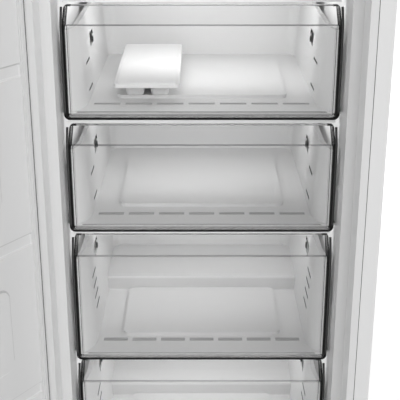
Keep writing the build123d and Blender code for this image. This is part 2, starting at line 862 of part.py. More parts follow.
def bush_bores():
    """Seats of the two hinge bushes."""
    low = upright(bush_radius(bottom_pin_radius) + bush_gap, hinge_x, hinge_y, door_bottom_z - 1,
                  door_bottom_z + bush_depth + bush_gap)
    high = upright(bush_radius(top_pin_radius) + bush_gap, hinge_x, hinge_y,
                   door_top_z - bush_depth - bush_gap, door_top_z + 1)
    return low + high


def door_bushes():
    """Nylon bushes; the lower one has a collar that carries the door on the bottom hinge."""
    low_r, high_r = bush_radius(bottom_pin_radius), bush_radius(top_pin_radius)
    collar_z = bottom_hinge_z + side_play
    low = upright(low_r, hinge_x, hinge_y, door_bottom_z, door_bottom_z + bush_depth)
    low += upright(low_r + bush_collar, hinge_x, hinge_y, collar_z, door_bottom_z)
    low -= upright(bottom_pin_radius + turn_clearance, hinge_x, hinge_y, collar_z - 1,
                   door_bottom_z + pin_length + pin_end_room)
    high = upright(high_r, hinge_x, hinge_y, door_top_z - bush_depth, door_top_z)
    high -= upright(top_pin_radius + turn_clearance, hinge_x, hinge_y, door_top_z - pin_length - pin_end_room,
                    door_top_z + 1)
    return Compound(children=[low, high])


def door_cap(z0, z1):
    return door_slab(0, door_inner_y, z0, z1) - bush_bores()


def gasket_ring(inset, y0, y1):
    """One step of the gasket's frame, drawn in on both sides."""
    half = half_width - gasket_edge - inset
    low, high = seat_bottom - gasket_edge + inset, door_top_z - cap_height - part_gap - inset
    width = gasket_width - 2 * inset
    ring = rounded_front(-half, half, low, high, mouth_radius, y0, y1)
    return ring - rounded_front(-half + width, half - width, low + width, high - width, mouth_radius - width,
                                y0 - 1, y1 + 1)


def door_gasket():
    """Soft frame on the door liner, with a narrower bead along its middle."""
    foot = door_inner_y + gasket_thickness * gasket_foot_share
    return gasket_ring(0, door_inner_y, foot) + gasket_ring(bead_inset, foot, door_inner_y + gasket_thickness)


# ---- Hinges ----
def top_hinge():
    """Plate screwed to the cabinet's top, with a pin down into the door."""
    top = cabinet_top + hinge_plate
    reach_x, reach_y = top_plate_reach
    arm_half = top_arm_half
    plate = block(hinge_x - arm_half, hinge_x + reach_x, front_y + top_plate_start, front_y + reach_y,
                  cabinet_top, top)
    plate += block(hinge_x - arm_half, hinge_x + arm_half, hinge_y, front_y + top_plate_start + 1, cabinet_top, top)
    plate += upright(arm_half, hinge_x, hinge_y, cabinet_top, top)
    for x, y in screws_at:
        plate += upright(screw_head_radius, hinge_x + x, front_y + y, top, top + screw_head_height)
    return plate + upright(top_pin_radius, hinge_x, hinge_y, door_top_z - pin_length, top)


def hinge_cover():
    """Moulded cap over the top hinge, open underneath."""
    x0, x1 = -half_width + side_inset, hinge_x + cover_reach[0]
    y0, y1 = hinge_y - cover_front, front_y + cover_reach[1]
    base, top = cabinet_top + part_gap, cabinet_top + cover_height
    body = block(x0, x1, y0, y1, base, top)
    body = fillet(body.edges().filter_by(Axis.Z), cover_corner)
    body = fillet(body.edges().group_by(Axis.Z)[-1], cover_edge)
    hollow = block(x0 + cover_wall, x1 - cover_wall, y0 + cover_wall, y1 - cover_wall, base - 1,
                   top - cover_wall)
    return body - fillet(hollow.edges().filter_by(Axis.Z), cover_corner - cover_wall)


def bottom_hinge():
    """Angle under the door: an arm with the lower pin, and a foot on the base pan's lip."""
    top, arm_half = bottom_hinge_z, bottom_arm_half
    x0, x1 = hinge_x - arm_half, hinge_x + bottom_plate_reach
    plate = block(x0, hinge_x + arm_half, hinge_y, front_y, top - hinge_plate, top)
    plate += block(x0, x1, front_y - bottom_notch, front_y, top - hinge_plate, top)
    plate += upright(arm_half, hinge_x, hinge_y, top - hinge_plate, top)
    plate += block(x0, x1, front_y - hinge_plate, front_y, base_height + bottom_foot_gap, top)
    return plate + upright(bottom_pin_radius, hinge_x, hinge_y, top - hinge_plate, door_bottom_z + pin_length)


def base_grille():
    """Kick strip under the door, open to the rear and below, with two rows of slots."""
    x0, x1 = hinge_x + bottom_plate_reach + side_inset, half_width - side_inset
    y0, z0, z1 = front_y - grille_depth, grille_bottom_z, grille_bottom_z + grille_height
    bend_z = z0 + grille_height * grille_bend_share
    strip = side_profile([(y0 + grille_toe, z0), (y0, bend_z), (y0, z1 - grille_nose), (y0 + grille_nose, z1),
                          (front_y, z1), (front_y, z0)], x0, x1)
    wall = grille_wall
    strip -= side_profile([(y0 + grille_toe + wall, z0 - 1), (y0 + wall, bend_z), (y0 + wall, z1 - wall),
                           (front_y + 1, z1 - wall), (front_y + 1, z0 - 1)], x0 + wall, x1 - wall)
    pitch = (x1 - x0 - 2 * grille_slot_margin) / grille_slots
    for n in range(grille_slots):
        middle = x0 + grille_slot_margin + pitch * (n + 0.5)
        for share in grille_slot_shares:
            strip -= mid_block(middle, grille_slot_length, y0 - 1, y0 + grille_toe + wall + 1,
                               z0 + grille_height * share, grille_slot_height)
    return strip


# ---- Feet, rollers and machinery ----
def front_foot(side):
    """Levelling foot: a pad with a stud in the pan's threaded boss."""
    x, y = side * foot_x, front_y + foot_setback
    pad = upright(foot_radius, x, y, 0, foot_pad_height)
    pad = chamfer(pad.edges().group_by(Axis.Z)[-1], foot_chamfer)
    return pad + upright(stud_radius, x, y, foot_pad_height, base_height - side_play)


def compressor_tray():
    """Cross tray of the bay with its turned-up lips, roller ears and axles."""
    half = inside_half - pan_sheet - tray_side_gap
    y0, y1 = bay_y + tray_front_gap, rear_y - tray_rear_gap
    low, floor, lip = pan_top_z, tray_floor_z, pan_top_z + tray_lip
    tray = side_profile([(y0, low), (y1, low), (y1, lip), (y1 - pan_sheet, lip), (y1 - pan_sheet, floor),
                         (y0 + pan_sheet, floor), (y0 + pan_sheet, lip), (y0, lip)], -half, half)
    for side in (-1, 1):
        for offset in (-1, 1):
            middle = side * roller_x + offset * (roller_width / 2 + side_play + ear_wall / 2)
            tray += block(middle - ear_wall / 2, middle + ear_wall / 2, roller_y - ear_half, roller_y + ear_half,
                          roller_radius - ear_drop, low)
        reach = roller_width / 2 + side_play + ear_wall
        tray += along_x(axle_radius, side * roller_x - reach, side * roller_x + reach, roller_y, roller_radius)
    return tray


def rear_roller(side):
    x = side * roller_x
    wheel = along_x(roller_radius, x - roller_width / 2, x + roller_width / 2, roller_y, roller_radius)
    wheel = chamfer(wheel.edges().filter_by(GeomType.CIRCLE), roller_chamfer)
    return wheel - along_x(axle_radius + turn_clearance, x - roller_width, x + roller_width, roller_y, roller_radius)


def compressor_can():
    """The welded can, with domed ends."""
    r, h = compressor_radius, compressor_height
    face = make_face(Polyline((0, 0), (r, 0), (r, h), (0, h), close=True))
    outer_corners = [v for v in face.vertices() if v.X > r / 2]
    return revolve(Plane.XZ * fillet(outer_corners, compressor_bend), Axis.Z)


def compressor_room():
    """The room inside the can, with plain sloped corners that stay clear of its domes."""
    r, h, w, bend = compressor_radius, compressor_height, compressor_wall, compressor_bend
    outline = Polyline((0, w), (r - bend, w), (r - w, bend), (r - w, h - bend), (r - bend, h - w), (0, h - w),
                       close=True)
    return revolve(Plane.XZ * make_face(outline), Axis.Z)


def compressor():
    """Hermetic compressor: a can with a welded seam and a terminal box, on a foot plate."""
    can = compressor_can()
    can += Pos(0, 0, compressor_height * weld_share) * Cylinder(compressor_radius + weld_proud, weld_height)
    plate = Box(2 * (compressor_foot_x + plate_margin), 2 * (compressor_foot_y + plate_margin), compressor_plate)
    can += Pos(0, 0, compressor_plate / 2) * fillet(plate.edges().filter_by(Axis.Z), plate_corner)
    terminals = fillet(Box(*terminal_box).edges().filter_by(Axis.X), terminal_box_edge)
    can += Pos(-compressor_radius - terminal_box_out, 0, compressor_height * terminal_box_share) * terminals
    return Pos(compressor_x, compressor_y, compressor_z) * (can - compressor_room())


def compressor_grommets():
    rubbers = []
    for side in (-1, 1):
        for end in (-1, 1):
            rubbers.append(upright(grommet_radius, compressor_x + side * compressor_foot_x,
                                   compressor_y + end * compressor_foot_y, tray_floor_z, compressor_z))
    return Compound(children=rubbers)


def evaporation_tray():
    """Open tray on the compressor that dries up the defrost water."""
    outer = extrude(RectangleRounded(drip_length, drip_width, drip_corner), drip_height, taper=-drip_flare)
    inner = extrude(RectangleRounded(drip_length - 2 * drip_wall, drip_width - 2 * drip_wall,
                                     drip_corner - drip_wall), drip_height, taper=-drip_flare)
    return Pos(compressor_x, compressor_y + drip_back, drip_z) * (outer - Pos(0, 0, drip_wall) * inner)


def drain_tube():
    """Tube from the liner's step down into the evaporation tray, with a collar at its top."""
    low = drip_z + drip_height - drain_dip
    pipe = upright(drain_radius, drain_x, drain_y, low, step_z)
    pipe += upright(drain_radius + drain_collar, drain_x, drain_y, step_z, step_z + drain_collar_height)
    return pipe - upright(drain_radius - drain_wall, drain_x, drain_y, low - 1, step_z + drain_collar_height + 1)


def refrigerant_pipes():
    """Suction and discharge pipes from the compressor's wall up to the roof of the bay."""
    low = compressor_z + compressor_height * pipe_share
    x = compressor_x + compressor_radius + pipe_out
    pipes = []
    for offset, rise, reach in pipe_runs:
        y = compressor_y + offset
        points = [(x, y, low + rise), (x + reach, y, low + rise), (x + reach, y, bay_top_z)]
        pipes.append(tube(points, pipe_bend, pipe_radius))
    return Compound(children=pipes)


def filter_drier():
    """Copper drier cartridge on a stem from the bay's roof."""
    stem, r = drier_stem, drier_radius
    neck_z, shoulder_z = -drier_neck[0], -drier_neck[1]
    outline = [(0, -drier_length), (stem, -drier_length), (stem, -drier_length + drier_tail[0]),
               (r, -drier_length + drier_tail[1]), (r, shoulder_z), (stem, neck_z), (stem, 0), (0, 0)]
    profile = Plane.XZ * make_face(Polyline(*outline, close=True))
    return Pos(drier_at[0], rear_y - drier_at[1], bay_top_z) * revolve(profile, Axis.Z)


def mains_inlet():
    """Appliance inlet on a small block at the rear of the tray."""
    x, front, low = inlet_at[0], rear_y - inlet_at[1], tray_floor_z
    rear = front + inlet_depth
    body = block(x - inlet_width / 2, x + inlet_width / 2, front, rear, low, low + inlet_height)
    width, height, depth = inlet_recess
    recess = mid_block(x, width, rear - depth, rear + 1, low + inlet_recess_rise + height / 2, height)
    body -= fillet(recess.edges().filter_by(Axis.Y), inlet_recess_corner)
    pin_width, pin_height, pin_length_out = inlet_pin
    for across, rise in inlet_pins_at:
        body += mid_block(x + across, pin_width, rear - depth - 1, rear - depth + pin_length_out,
                          low + rise + pin_height / 2, pin_height)
    return body


def control_module():
    """Closed case of the control electronics, on the tray beside the compressor."""
    front = bay_y + module_gap
    case = block(module_x - module_width / 2, module_x + module_width / 2, front, front + module_depth,
                 tray_floor_z, tray_floor_z + module_height)
    return fillet(case.edges().filter_by(Axis.Y), module_corner)


# ---- Drawers ----
def side_at(z, y_share):
    """Inner half width of a tub at a height, tapering a little to the rear."""
    return floor_half + (z - tub_floor_lift) * tub_draft - tub_rear_taper * y_share


def tub_outline(z, grow, depth, y_front):
    """Plan of a tub at one height: straight sides that flare out to the clear front."""
    near, far = side_at(z, 0) + grow, side_at(z, 1) + grow
    wide = front_half - front_wall - side_play - tub_wall + grow
    y_flare = front_wall + flare_length
    y_back = depth + grow
    r = tub_corner_radius + grow
    slope = (near - far) / (depth - y_flare)
    knee = far + slope * r
    edges = [
        TangentArc((near, y_flare), (wide, y_front), tangent=(0, -1)),
        Line((near, y_flare), (knee, y_back - r)),
        TangentArc((knee, y_back - r), (far - r, y_back), tangent=(-slope, 1)),
        Line((far - r, y_back), (r - far, y_back)),
        TangentArc((-knee, y_back - r), (r - far, y_back), tangent=(slope, 1)),
        Line((-near, y_flare), (-knee, y_back - r)),
        TangentArc((-near, y_flare), (-wide, y_front), tangent=(0, -1)),
        Line((-wide, y_front), (wide, y_front)),
    ]
    return Plane.XY.offset(z) * make_face(edges)


def tub_body(z0, z1, grow, depth, y_front):
    return loft([tub_outline(z0, grow, depth, y_front), tub_outline(z1, grow, depth, y_front)], ruled=True)


def floor_slots():
    """Row of slots along the front of a tub's floor."""
    count = int((2 * floor_half - (slot_pitch - slot_length)) // slot_pitch)
    cut = Part()
    for n in range(count):
        x = (n - (count - 1) / 2) * slot_pitch
        cut += mid_block(x, slot_length, slot_setback - slot_width / 2, slot_setback + slot_width / 2,
                         tub_floor_lift, 2 * tub_wall + 2)
    return cut


def floor_pad(y0, y1, shrink):
    """Raised pad of a tub's floor; a short pad has tighter corners."""
    half = floor_half - pad_margin - shrink
    length = y1 - y0 - 2 * shrink
    sketch = RectangleRounded(2 * half, length, min(pad_radius, pad_radius_share * length))
    return Pos(0, (y0 + y1) / 2, tub_under) * extrude(sketch, tub_wall + pad_height - shrink)


def side_openings(grip_at, vents_at, depth):
    """Oval grips and air slots through both side walls; the grips stay clear of the rear corners."""
    cut = Part()
    plane = Plane.YZ.offset(-front_half)
    grip_y = min(grip_at[0], depth - tub_corner_radius - grip_margin - grip_length / 2)
    cut += extrude(plane * Pos(grip_y, grip_at[1]) * SlotOverall(grip_length, grip_height), 2 * front_half)
    for y, z in vents_at:
        cut += extrude(plane * Pos(y, z) * Rectangle(vent_length, vent_height), 2 * front_half)
    return cut


def tub_rim(rim, depth):
    """Turned-out lip round the tub's top, ending at the clear front's walls."""
    lip = Pos(0, 0, -tub_wall) * extrude(tub_outline(rim, tub_wall + tub_rim_lip, depth, front_wall), tub_wall)
    half = front_half - front_wall - side_play
    return lip & block(-half, half, front_wall, depth + 2 * tub_rim_lip, 0, rim)


def tub(number):
    """Moulded white tub: drafted walls, rim, flared front, slotted floor with a raised pad."""
    large, lowest = drawer_is_large(number), number == drawer_count
    depth = lowest_tub_depth if lowest else tub_depth
    stepped = large and not lowest
    rim = front_height(number) - tub_rim_drop
    outer = tub_body(tub_under, rim, tub_wall, depth, front_wall)
    inner = tub_body(tub_floor_lift, rim + 2, 0, depth, front_wall - 1)
    if stepped:
        behind = depth + 2 * tub_rim_lip
        outer -= block(-front_half, front_half, step_front + tub_wall, behind, 0, tub_under + step_height)
        inner -= block(-front_half, front_half, step_front, behind, 0, tub_floor_lift + step_height)
    pad_y0 = large_pad_front if large else small_pad_front
    pad_y1 = step_front if stepped else depth - pad_rear_margin
    shape = outer + tub_rim(rim, depth) - inner + floor_pad(pad_y0, pad_y1, 0)
    shape -= Pos(0, 0, -0.01) * floor_pad(pad_y0, pad_y1, tub_wall)
    shape -= floor_slots()
    if large:
        shape -= side_openings(large_grip_at, large_vents_at, depth)
    else:
        shape -= side_openings(small_grip_at, small_vents_at, depth)
    return Pos(0, drawer_plane, drawer_bottom(number)) * shape


def front_block(height, band, wall, back):
    """Filled side profile of a clear front, drawn in by a wall and carried on to the rear."""
    crease_z = height - band
    slope = math.atan2(band, band_setback)
    shift = wall * math.tan((math.pi / 2 - slope) / 2)
    top = height - wall
    lean_y = band_setback + wall / math.sin(slope) - wall / math.tan(slope)
    lip_y, flange_y = band_setback + band_lip + back, front_flange + back
    points = [(wall, wall), (wall, crease_z - shift), (lean_y, top), (lip_y, top), (lip_y, top - band_edge),
              (flange_y, crease_z - flange_drop), (flange_y, wall)]
    return side_profile(points, -front_half + wall, front_half - wall)


def drawer_front(number):
    """Clear moulded front: upright face, leaning grip band, and a flange round its back."""
    height = front_height(number)
    band = large_band_height if drawer_is_large(number) else small_band_height
    depth = band_setback + band_lip + 1
    rounded = rounded_front(-front_half, front_half, 0, height, front_corner_radius, -1, depth)
    room_half = front_half - front_wall
    room = rounded_front(-room_half, room_half, front_wall, height - front_wall,
                         front_corner_radius - front_wall, -1, 2 * depth)
    shape = front_block(height, band, 0, 0) & rounded
    shape -= front_block(height, band, front_wall, front_flange) & room
    return Pos(0, drawer_plane, drawer_bottom(number)) * shape


# ---- Ice tray ----
def tray_place():
    x = -floor_half + tray_from_wall + tray_width / 2 + lid_overhang
    y = drawer_plane + tray_from_front + tray_length / 2
    z = drawer_bottom(tray_drawer) + tub_floor_lift + pad_height + side_play
    return Pos(x, y, z)


def tray_row(length):
    """Outside of one row of wells, drafted and rounded along its foot."""
    row = extrude(Pos(0, 0, tray_height) * RectangleRounded(row_width, length, row_corner), -tray_height,
                  taper=well_draft)
    return fillet(row.edges().group_by(Axis.Z)[0], row_edge)


def tray_well(length):
    """Room of one well, parallel to the row's walls."""
    mouth = RectangleRounded(row_width - 2 * well_wall, length, row_corner - well_wall)
    well = extrude(Pos(0, 0, tray_height + 0.01) * mouth, -(tray_height - tray_wall), taper=well_draft)
    return fillet(well.edges().group_by(Axis.Z)[0], row_edge - well_wall)


def ice_tray():
    """Two rows of drafted wells under a common rim."""
    rim = Pos(0, 0, tray_height - tray_wall / 2) * Box(tray_width, tray_length, tray_wall)
    shape = fillet(rim.edges().filter_by(Axis.Z), tray_corner)
    row_length = tray_length - 2 * row_margin
    pitch = (row_length - well_wall) / wells_per_row
    row, well = tray_row(row_length), tray_well(pitch - well_wall)
    for side in (-1, 1):
        x = side * (row_width + row_gap) / 2
        shape += Pos(x, 0, 0) * row
        for n in range(wells_per_row):
            shape -= Pos(x, (n - (wells_per_row - 1) / 2) * pitch, 0) * well
    return tray_place() * shape


def lid_plate(inset, z, height):
    """A rounded plate of the lid, drawn in from its edge."""
    width, length = tray_width + 2 * (lid_overhang - inset), tray_length + 2 * (lid_overhang - inset)
    return Pos(0, 0, z) * extrude(RectangleRounded(width, length, lid_corner - min(inset, lid_band / 2)), height)


def ice_tray_lid():
    """Shallow lid over the tray's rim, with a raised panel inside a flat edge."""
    base = tray_height + side_play
    lid = lid_plate(0, base - lid_skirt, lid_skirt + lid_wall)
    lid = fillet(lid.edges().group_by(Axis.Z)[-1], lid_edge)
    panel = lid_plate(lid_band, base + lid_wall, lid_rise)
    lid += chamfer(panel.edges().group_by(Axis.Z)[-1], lid_rise / 2)
    lid -= lid_plate(lid_wall, base - lid_skirt - 1, lid_skirt + 1)
    return tray_place() * (lid - lid_plate(lid_band + lid_wall, base - 1, lid_rise + 1))


# ---- All pieces ----
def build_all():
    pieces = {
        "cabinet_shell": cabinet_shell(),
        "rear_panel": rear_panel(),
        "base_pan": base_pan(),
        "cabinet_foam": cabinet_foam(),
        "inner_liner": inner_liner(),
        "condenser_coil": condenser_coil(),
        "glass_shelves": glass_shelves(),
        "shelf_trims": shelf_trims(),
        "duct_cover": duct_cover(),
        "evaporator": evaporator(),
        "defrost_heater": defrost_heater(),
        "fan_motor": fan_motor(),
        "evaporator_fan": evaporator_fan(),
        "ceiling_housing": ceiling_housing(),
        "light_lens": light_lens(),
        "temperature_knob": temperature_knob(),
        "fast_freeze_button": fast_freeze_button(),
        "door_skin": swung(door_skin()),
        "door_liner": swung(door_liner()),
        "door_foam": swung(door_foam()),
        "door_gasket": swung(door_gasket()),
        "door_bottom_cap": swung(door_cap(door_bottom_z, door_bottom_z + cap_height)),
        "door_top_cap": swung(door_cap(door_top_z - cap_height, door_top_z)),
        "door_bushes": swung(door_bushes()),
        "handle_cup": swung(handle_cup()),
        "top_hinge": top_hinge(),
        "hinge_cover": hinge_cover(),
        "bottom_hinge": bottom_hinge(),
        "base_grille": base_grille(),
        "front_foot_left": front_foot(-1),
        "front_foot_right": front_foot(1),
        "rear_roller_left": rear_roller(-1),
        "rear_roller_right": rear_roller(1),
        "compressor_tray": compressor_tray(),
        "compressor": compressor(),
        "compressor_grommets": compressor_grommets(),
        "evaporation_tray": evaporation_tray(),
        "drain_tube": drain_tube(),
        "refrigerant_pipes": refrigerant_pipes(),
        "filter_drier": filter_drier(),
        "mains_inlet": mains_inlet(),
        "control_module": control_module(),
        "ice_tray": ice_tray(),
        "ice_tray_lid": ice_tray_lid(),
    }
    for number in range(1, drawer_count + 1):
        pieces[f"drawer_{number}_tub"] = tub(number)
        pieces[f"drawer_{number}_front"] = drawer_front(number)
    return pieces


os.makedirs("parts", exist_ok=True)
for name, shape in build_all().items():
    export_step(shape, f"parts/{name}.step")
    print(name, "volume", round(shape.volume))
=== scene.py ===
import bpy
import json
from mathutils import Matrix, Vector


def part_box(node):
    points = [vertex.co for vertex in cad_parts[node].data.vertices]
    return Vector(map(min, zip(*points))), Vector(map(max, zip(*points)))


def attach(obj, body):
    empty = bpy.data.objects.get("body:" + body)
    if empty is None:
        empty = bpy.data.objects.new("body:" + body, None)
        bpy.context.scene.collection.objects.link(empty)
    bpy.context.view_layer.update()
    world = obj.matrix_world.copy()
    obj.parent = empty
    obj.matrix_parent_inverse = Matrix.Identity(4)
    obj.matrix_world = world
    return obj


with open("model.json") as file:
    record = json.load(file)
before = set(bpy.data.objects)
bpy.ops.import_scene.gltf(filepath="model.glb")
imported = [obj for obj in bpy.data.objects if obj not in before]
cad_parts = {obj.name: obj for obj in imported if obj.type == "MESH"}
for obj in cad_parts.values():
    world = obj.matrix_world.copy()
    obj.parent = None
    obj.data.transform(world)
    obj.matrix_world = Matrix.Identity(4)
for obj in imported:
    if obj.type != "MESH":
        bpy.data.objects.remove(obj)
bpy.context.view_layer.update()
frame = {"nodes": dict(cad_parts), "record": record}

import json
import math
import bpy
import numpy as np

nodes = frame["nodes"]
# drawers are numbered from the top, and from firstLarge on they are large ones
drawerNumbers = range(1, 8)
firstLarge = 5
black = (0, 0, 0, 1)
white = (1, 1, 1, 1)


# Shader helpers

def feed(tree, socket, value):
    # numbers and colours are set, another node's output is linked
    if isinstance(value, (int, float, tuple, list)):
        socket.default_value = value
    else:
        tree.links.new(value, socket)


def feedAll(tree, node, values):
    for key, value in values.items():
        feed(tree, node.inputs[key], value)


def addNode(tree, kind, **settings):
    node = tree.nodes.new("ShaderNode" + kind)
    for key, value in settings.items():
        setattr(node, key, value)
    return node


def newGroup(name, inputs, outputs):
    # a shader node group with named float, colour and vector sockets
    kinds = {"f": "NodeSocketFloat", "c": "NodeSocketColor", "v": "NodeSocketVector"}
    tree = bpy.data.node_groups.new(name, "ShaderNodeTree")
    for socketName, kind, value in inputs:
        socket = tree.interface.new_socket(name=socketName, in_out="INPUT", socket_type=kinds[kind])
        if value is not None:
            socket.default_value = value
    for socketName, kind in outputs:
        tree.interface.new_socket(name=socketName, in_out="OUTPUT", socket_type=kinds[kind])
    return tree, tree.nodes.new("NodeGroupInput").outputs, tree.nodes.new("NodeGroupOutput")


def useGroup(tree, effectName, values):
    node = addNode(tree, "Group", node_tree=effects[effectName])
    feedAll(tree, node, values)
    return node.outputs


def calculate(tree, operation, *values, clamp=False):
    node = addNode(tree, "Math", operation=operation, use_clamp=clamp)
    for socket, value in zip(node.inputs, values):
        feed(tree, socket, value)
    return node.outputs[0]


def chain(tree, operation, values):
    result = values[0]
    for value in values[1:]:
        result = calculate(tree, operation, result, value)
    return result


def product(tree, *values):
    return chain(tree, "MULTIPLY", values)


def total(tree, *values):
    return chain(tree, "ADD", values)


def largest(tree, *values):
    return chain(tree, "MAXIMUM", values)


def difference(tree, a, b):
    return calculate(tree, "SUBTRACT", a, b)


def absolute(tree, value):
    return calculate(tree, "ABSOLUTE", value)


def mixColour(tree, factor, a, b):
    # a where the factor is 0, b where it is 1
    node = addNode(tree, "Mix", data_type="RGBA")
    for key, value in (("Factor", factor), ("A", a), ("B", b)):
        feed(tree, next(s for s in node.inputs if s.name == key and s.enabled), value)
    return next(s for s in node.outputs if s.enabled)


def mapRange(tree, value, low, high, toLow=0.0, toHigh=1.0, smooth=True):
    node = addNode(tree, "MapRange", interpolation_type="SMOOTHSTEP" if smooth else "LINEAR")
    feedAll(tree, node, {
        "Value": value, "From Min": low, "From Max": high, "To Min": toLow, "To Max": toHigh,
    })
    return node.outputs["Result"]


def noiseFactor(tree, vector, scale, detail=2.0, roughness=0.5):
    node = addNode(tree, "TexNoise")
    feedAll(tree, node, {"Vector": vector, "Scale": scale, "Detail": detail, "Roughness": roughness})
    return node.outputs["Fac"]


def spreadNoise(tree, noise, spread):
    # a noise moved to lie round zero, times its spread
    return product(tree, difference(tree, noise, 0.5), spread)


def axesOf(tree, vector):
    node = addNode(tree, "SeparateXYZ")
    feed(tree, node.inputs[0], vector)
    return [node.outputs[key] for key in "XYZ"]


def belowMask(tree, value, edge, soft):
    # 1 below an edge, 0 above it
    return mapRange(tree, value, edge + soft, edge - soft)


def lineMask(tree, value, low, high, soft, strength=1.0):
    # a strength between two limits, 0 outside of them
    mask = product(tree, mapRange(tree, value, low - soft, low + soft), belowMask(tree, value, high, soft))
    return mask if strength == 1.0 else product(tree, mask, strength)


def nearMask(tree, value, centre, half, soft):
    # 1 where a value lies within a half width of its centre
    return mapRange(tree, absolute(tree, difference(tree, value, centre)), half + soft, half)


def viewRays(tree):
    # 1 where the camera sees a surface, also in a mirror or through glass; 0 for the light it scatters
    path = addNode(tree, "LightPath").outputs
    return largest(tree, path["Is Camera Ray"], path["Is Glossy Ray"], path["Is Transmission Ray"])


# Effects that several finishes share; each noise is named with its scale, detail and roughness

mouldedLook = {
    "cloud": (3.0, 3.0, 0.5), "grainDetail": 1.0, "rub": (42.0, 4.0, 0.6), "rubSpread": 0.16,
    "bumpDistance": 0.0003,
}


def makeMoulded():
    # moulded plastic: slow clouding of the colour, patches rubbed to another gloss, fine spark grain
    tree, given, target = newGroup(
        "mouldedPlastic",
        [("Position", "v", None), ("Colour", "c", (0.8, 0.8, 0.8, 1)), ("Cloud", "f", 0.03),
         ("Gloss", "f", 0.35), ("Grain Scale", "f", 900.0)],
        [("Colour", "c"), ("Roughness", "f"), ("Height", "f")])
    position = given["Position"]
    cloud = product(tree, noiseFactor(tree, position, *mouldedLook["cloud"]), given["Cloud"])
    rub = spreadNoise(tree, noiseFactor(tree, position, *mouldedLook["rub"]), mouldedLook["rubSpread"])
    feedAll(tree, target, {
        "Colour": mixColour(tree, cloud, given["Colour"], black),
        "Roughness": calculate(tree, "ADD", given["Gloss"], rub, clamp=True),
        "Height": noiseFactor(tree, position, given["Grain Scale"], mouldedLook["grainDetail"]),
    })
    return tree


paintLook = {
    "cloud": (9.0, 5.0, 0.62), "dustShare": 0.35, "dustRoughness": 0.6, "smear": (6.0, 6.0, 0.6),
    "smearSpread": 0.14, "peelScale": 420.0, "bumpStrength": 0.12, "bumpDistance": 0.0004,
}


def makePaint():
    # coat on sheet steel: orange peel, smears in the gloss, light dust that thickens towards the floor
    tree, given, target = newGroup(
        "coatedSteel",
        [("Position", "v", None), ("Colour", "c", (0.8, 0.8, 0.8, 1)), ("Dust", "c", (0.5, 0.48, 0.45, 1)),
         ("Dust Height", "f", 0.35), ("Gloss", "f", 0.3)],
        [("Colour", "c"), ("Roughness", "f"), ("Height", "f")])
    position = given["Position"]
    low = mapRange(tree, axesOf(tree, position)[2], given["Dust Height"], 0.0)
    cloud = product(tree, low, noiseFactor(tree, position, *paintLook["cloud"]))
    dust = calculate(tree, "MULTIPLY", cloud, paintLook["dustShare"], clamp=True)
    smear = spreadNoise(tree, noiseFactor(tree, position, *paintLook["smear"]), paintLook["smearSpread"])
    dull = product(tree, dust, paintLook["dustRoughness"])
    feedAll(tree, target, {
        "Colour": mixColour(tree, dust, given["Colour"], given["Dust"]),
        "Roughness": calculate(tree, "ADD", total(tree, given["Gloss"], smear), dull, clamp=True),
        "Height": noiseFactor(tree, position, paintLook["peelScale"]),
    })
    return tree


zincLook = {
    "roughness": (0.3, 0.55), "rippleScale": 300.0, "metallic": 0.9, "bumpStrength": 0.15,
    "bumpDistance": 0.0003,
}


def makeSpangle():
    # zinc crystals on galvanised sheet: cells of slightly different grey and gloss
    tree, given, target = newGroup(
        "zincSpangle",
        [("Position", "v", None), ("Dark", "c", (0.4, 0.41, 0.42, 1)), ("Light", "c", (0.6, 0.61, 0.62, 1)),
         ("Scale", "f", 160.0)],
        [("Colour", "c"), ("Roughness", "f"), ("Height", "f")])
    cells = addNode(tree, "TexVoronoi")
    feedAll(tree, cells, {"Vector": given["Position"], "Scale": given["Scale"]})
    split = addNode(tree, "SeparateColor")
    feed(tree, split.inputs[0], cells.outputs["Color"])
    feedAll(tree, target, {
        "Colour": mixColour(tree, split.outputs[0], given["Dark"], given["Light"]),
        "Roughness": mapRange(tree, split.outputs[1], 0.0, 1.0, *zincLook["roughness"], smooth=False),
        "Height": noiseFactor(tree, given["Position"], zincLook["rippleScale"]),
    })
    return tree


drawnLook = {
    "patch": (14.0, 5.0, 0.65), "patchRange": (0.48, 0.72), "lineRoughness": 0.25, "patchRoughness": 0.25,
    "roughness": 0.15, "bumpStrength": 0.2, "bumpDistance": 0.0002,
}


def makeDrawn():
    # drawn or rolled metal: fine lines along one axis with dull patches
    tree, given, target = newGroup(
        "drawnMetal",
        [("Position", "v", None), ("Stretch", "v", (20.0, 600.0, 600.0)), ("Colour", "c", (0.6, 0.6, 0.6, 1)),
         ("Tarnish", "c", (0.3, 0.3, 0.3, 1))],
        [("Colour", "c"), ("Roughness", "f"), ("Height", "f")])
    stretched = addNode(tree, "VectorMath", operation="MULTIPLY")
    feed(tree, stretched.inputs[0], given["Position"])
    feed(tree, stretched.inputs[1], given["Stretch"])
    lines = noiseFactor(tree, stretched.outputs[0], 1.0)
    patch = noiseFactor(tree, given["Position"], *drawnLook["patch"])
    patch = mapRange(tree, patch, *drawnLook["patchRange"])
    dull = total(tree, product(tree, lines, drawnLook["lineRoughness"]),
                 product(tree, patch, drawnLook["patchRoughness"]))
    feedAll(tree, target, {
        "Colour": mixColour(tree, patch, given["Colour"], given["Tarnish"]),
        "Roughness": calculate(tree, "ADD", dull, drawnLook["roughness"], clamp=True),
        "Height": lines,
    })
    return tree


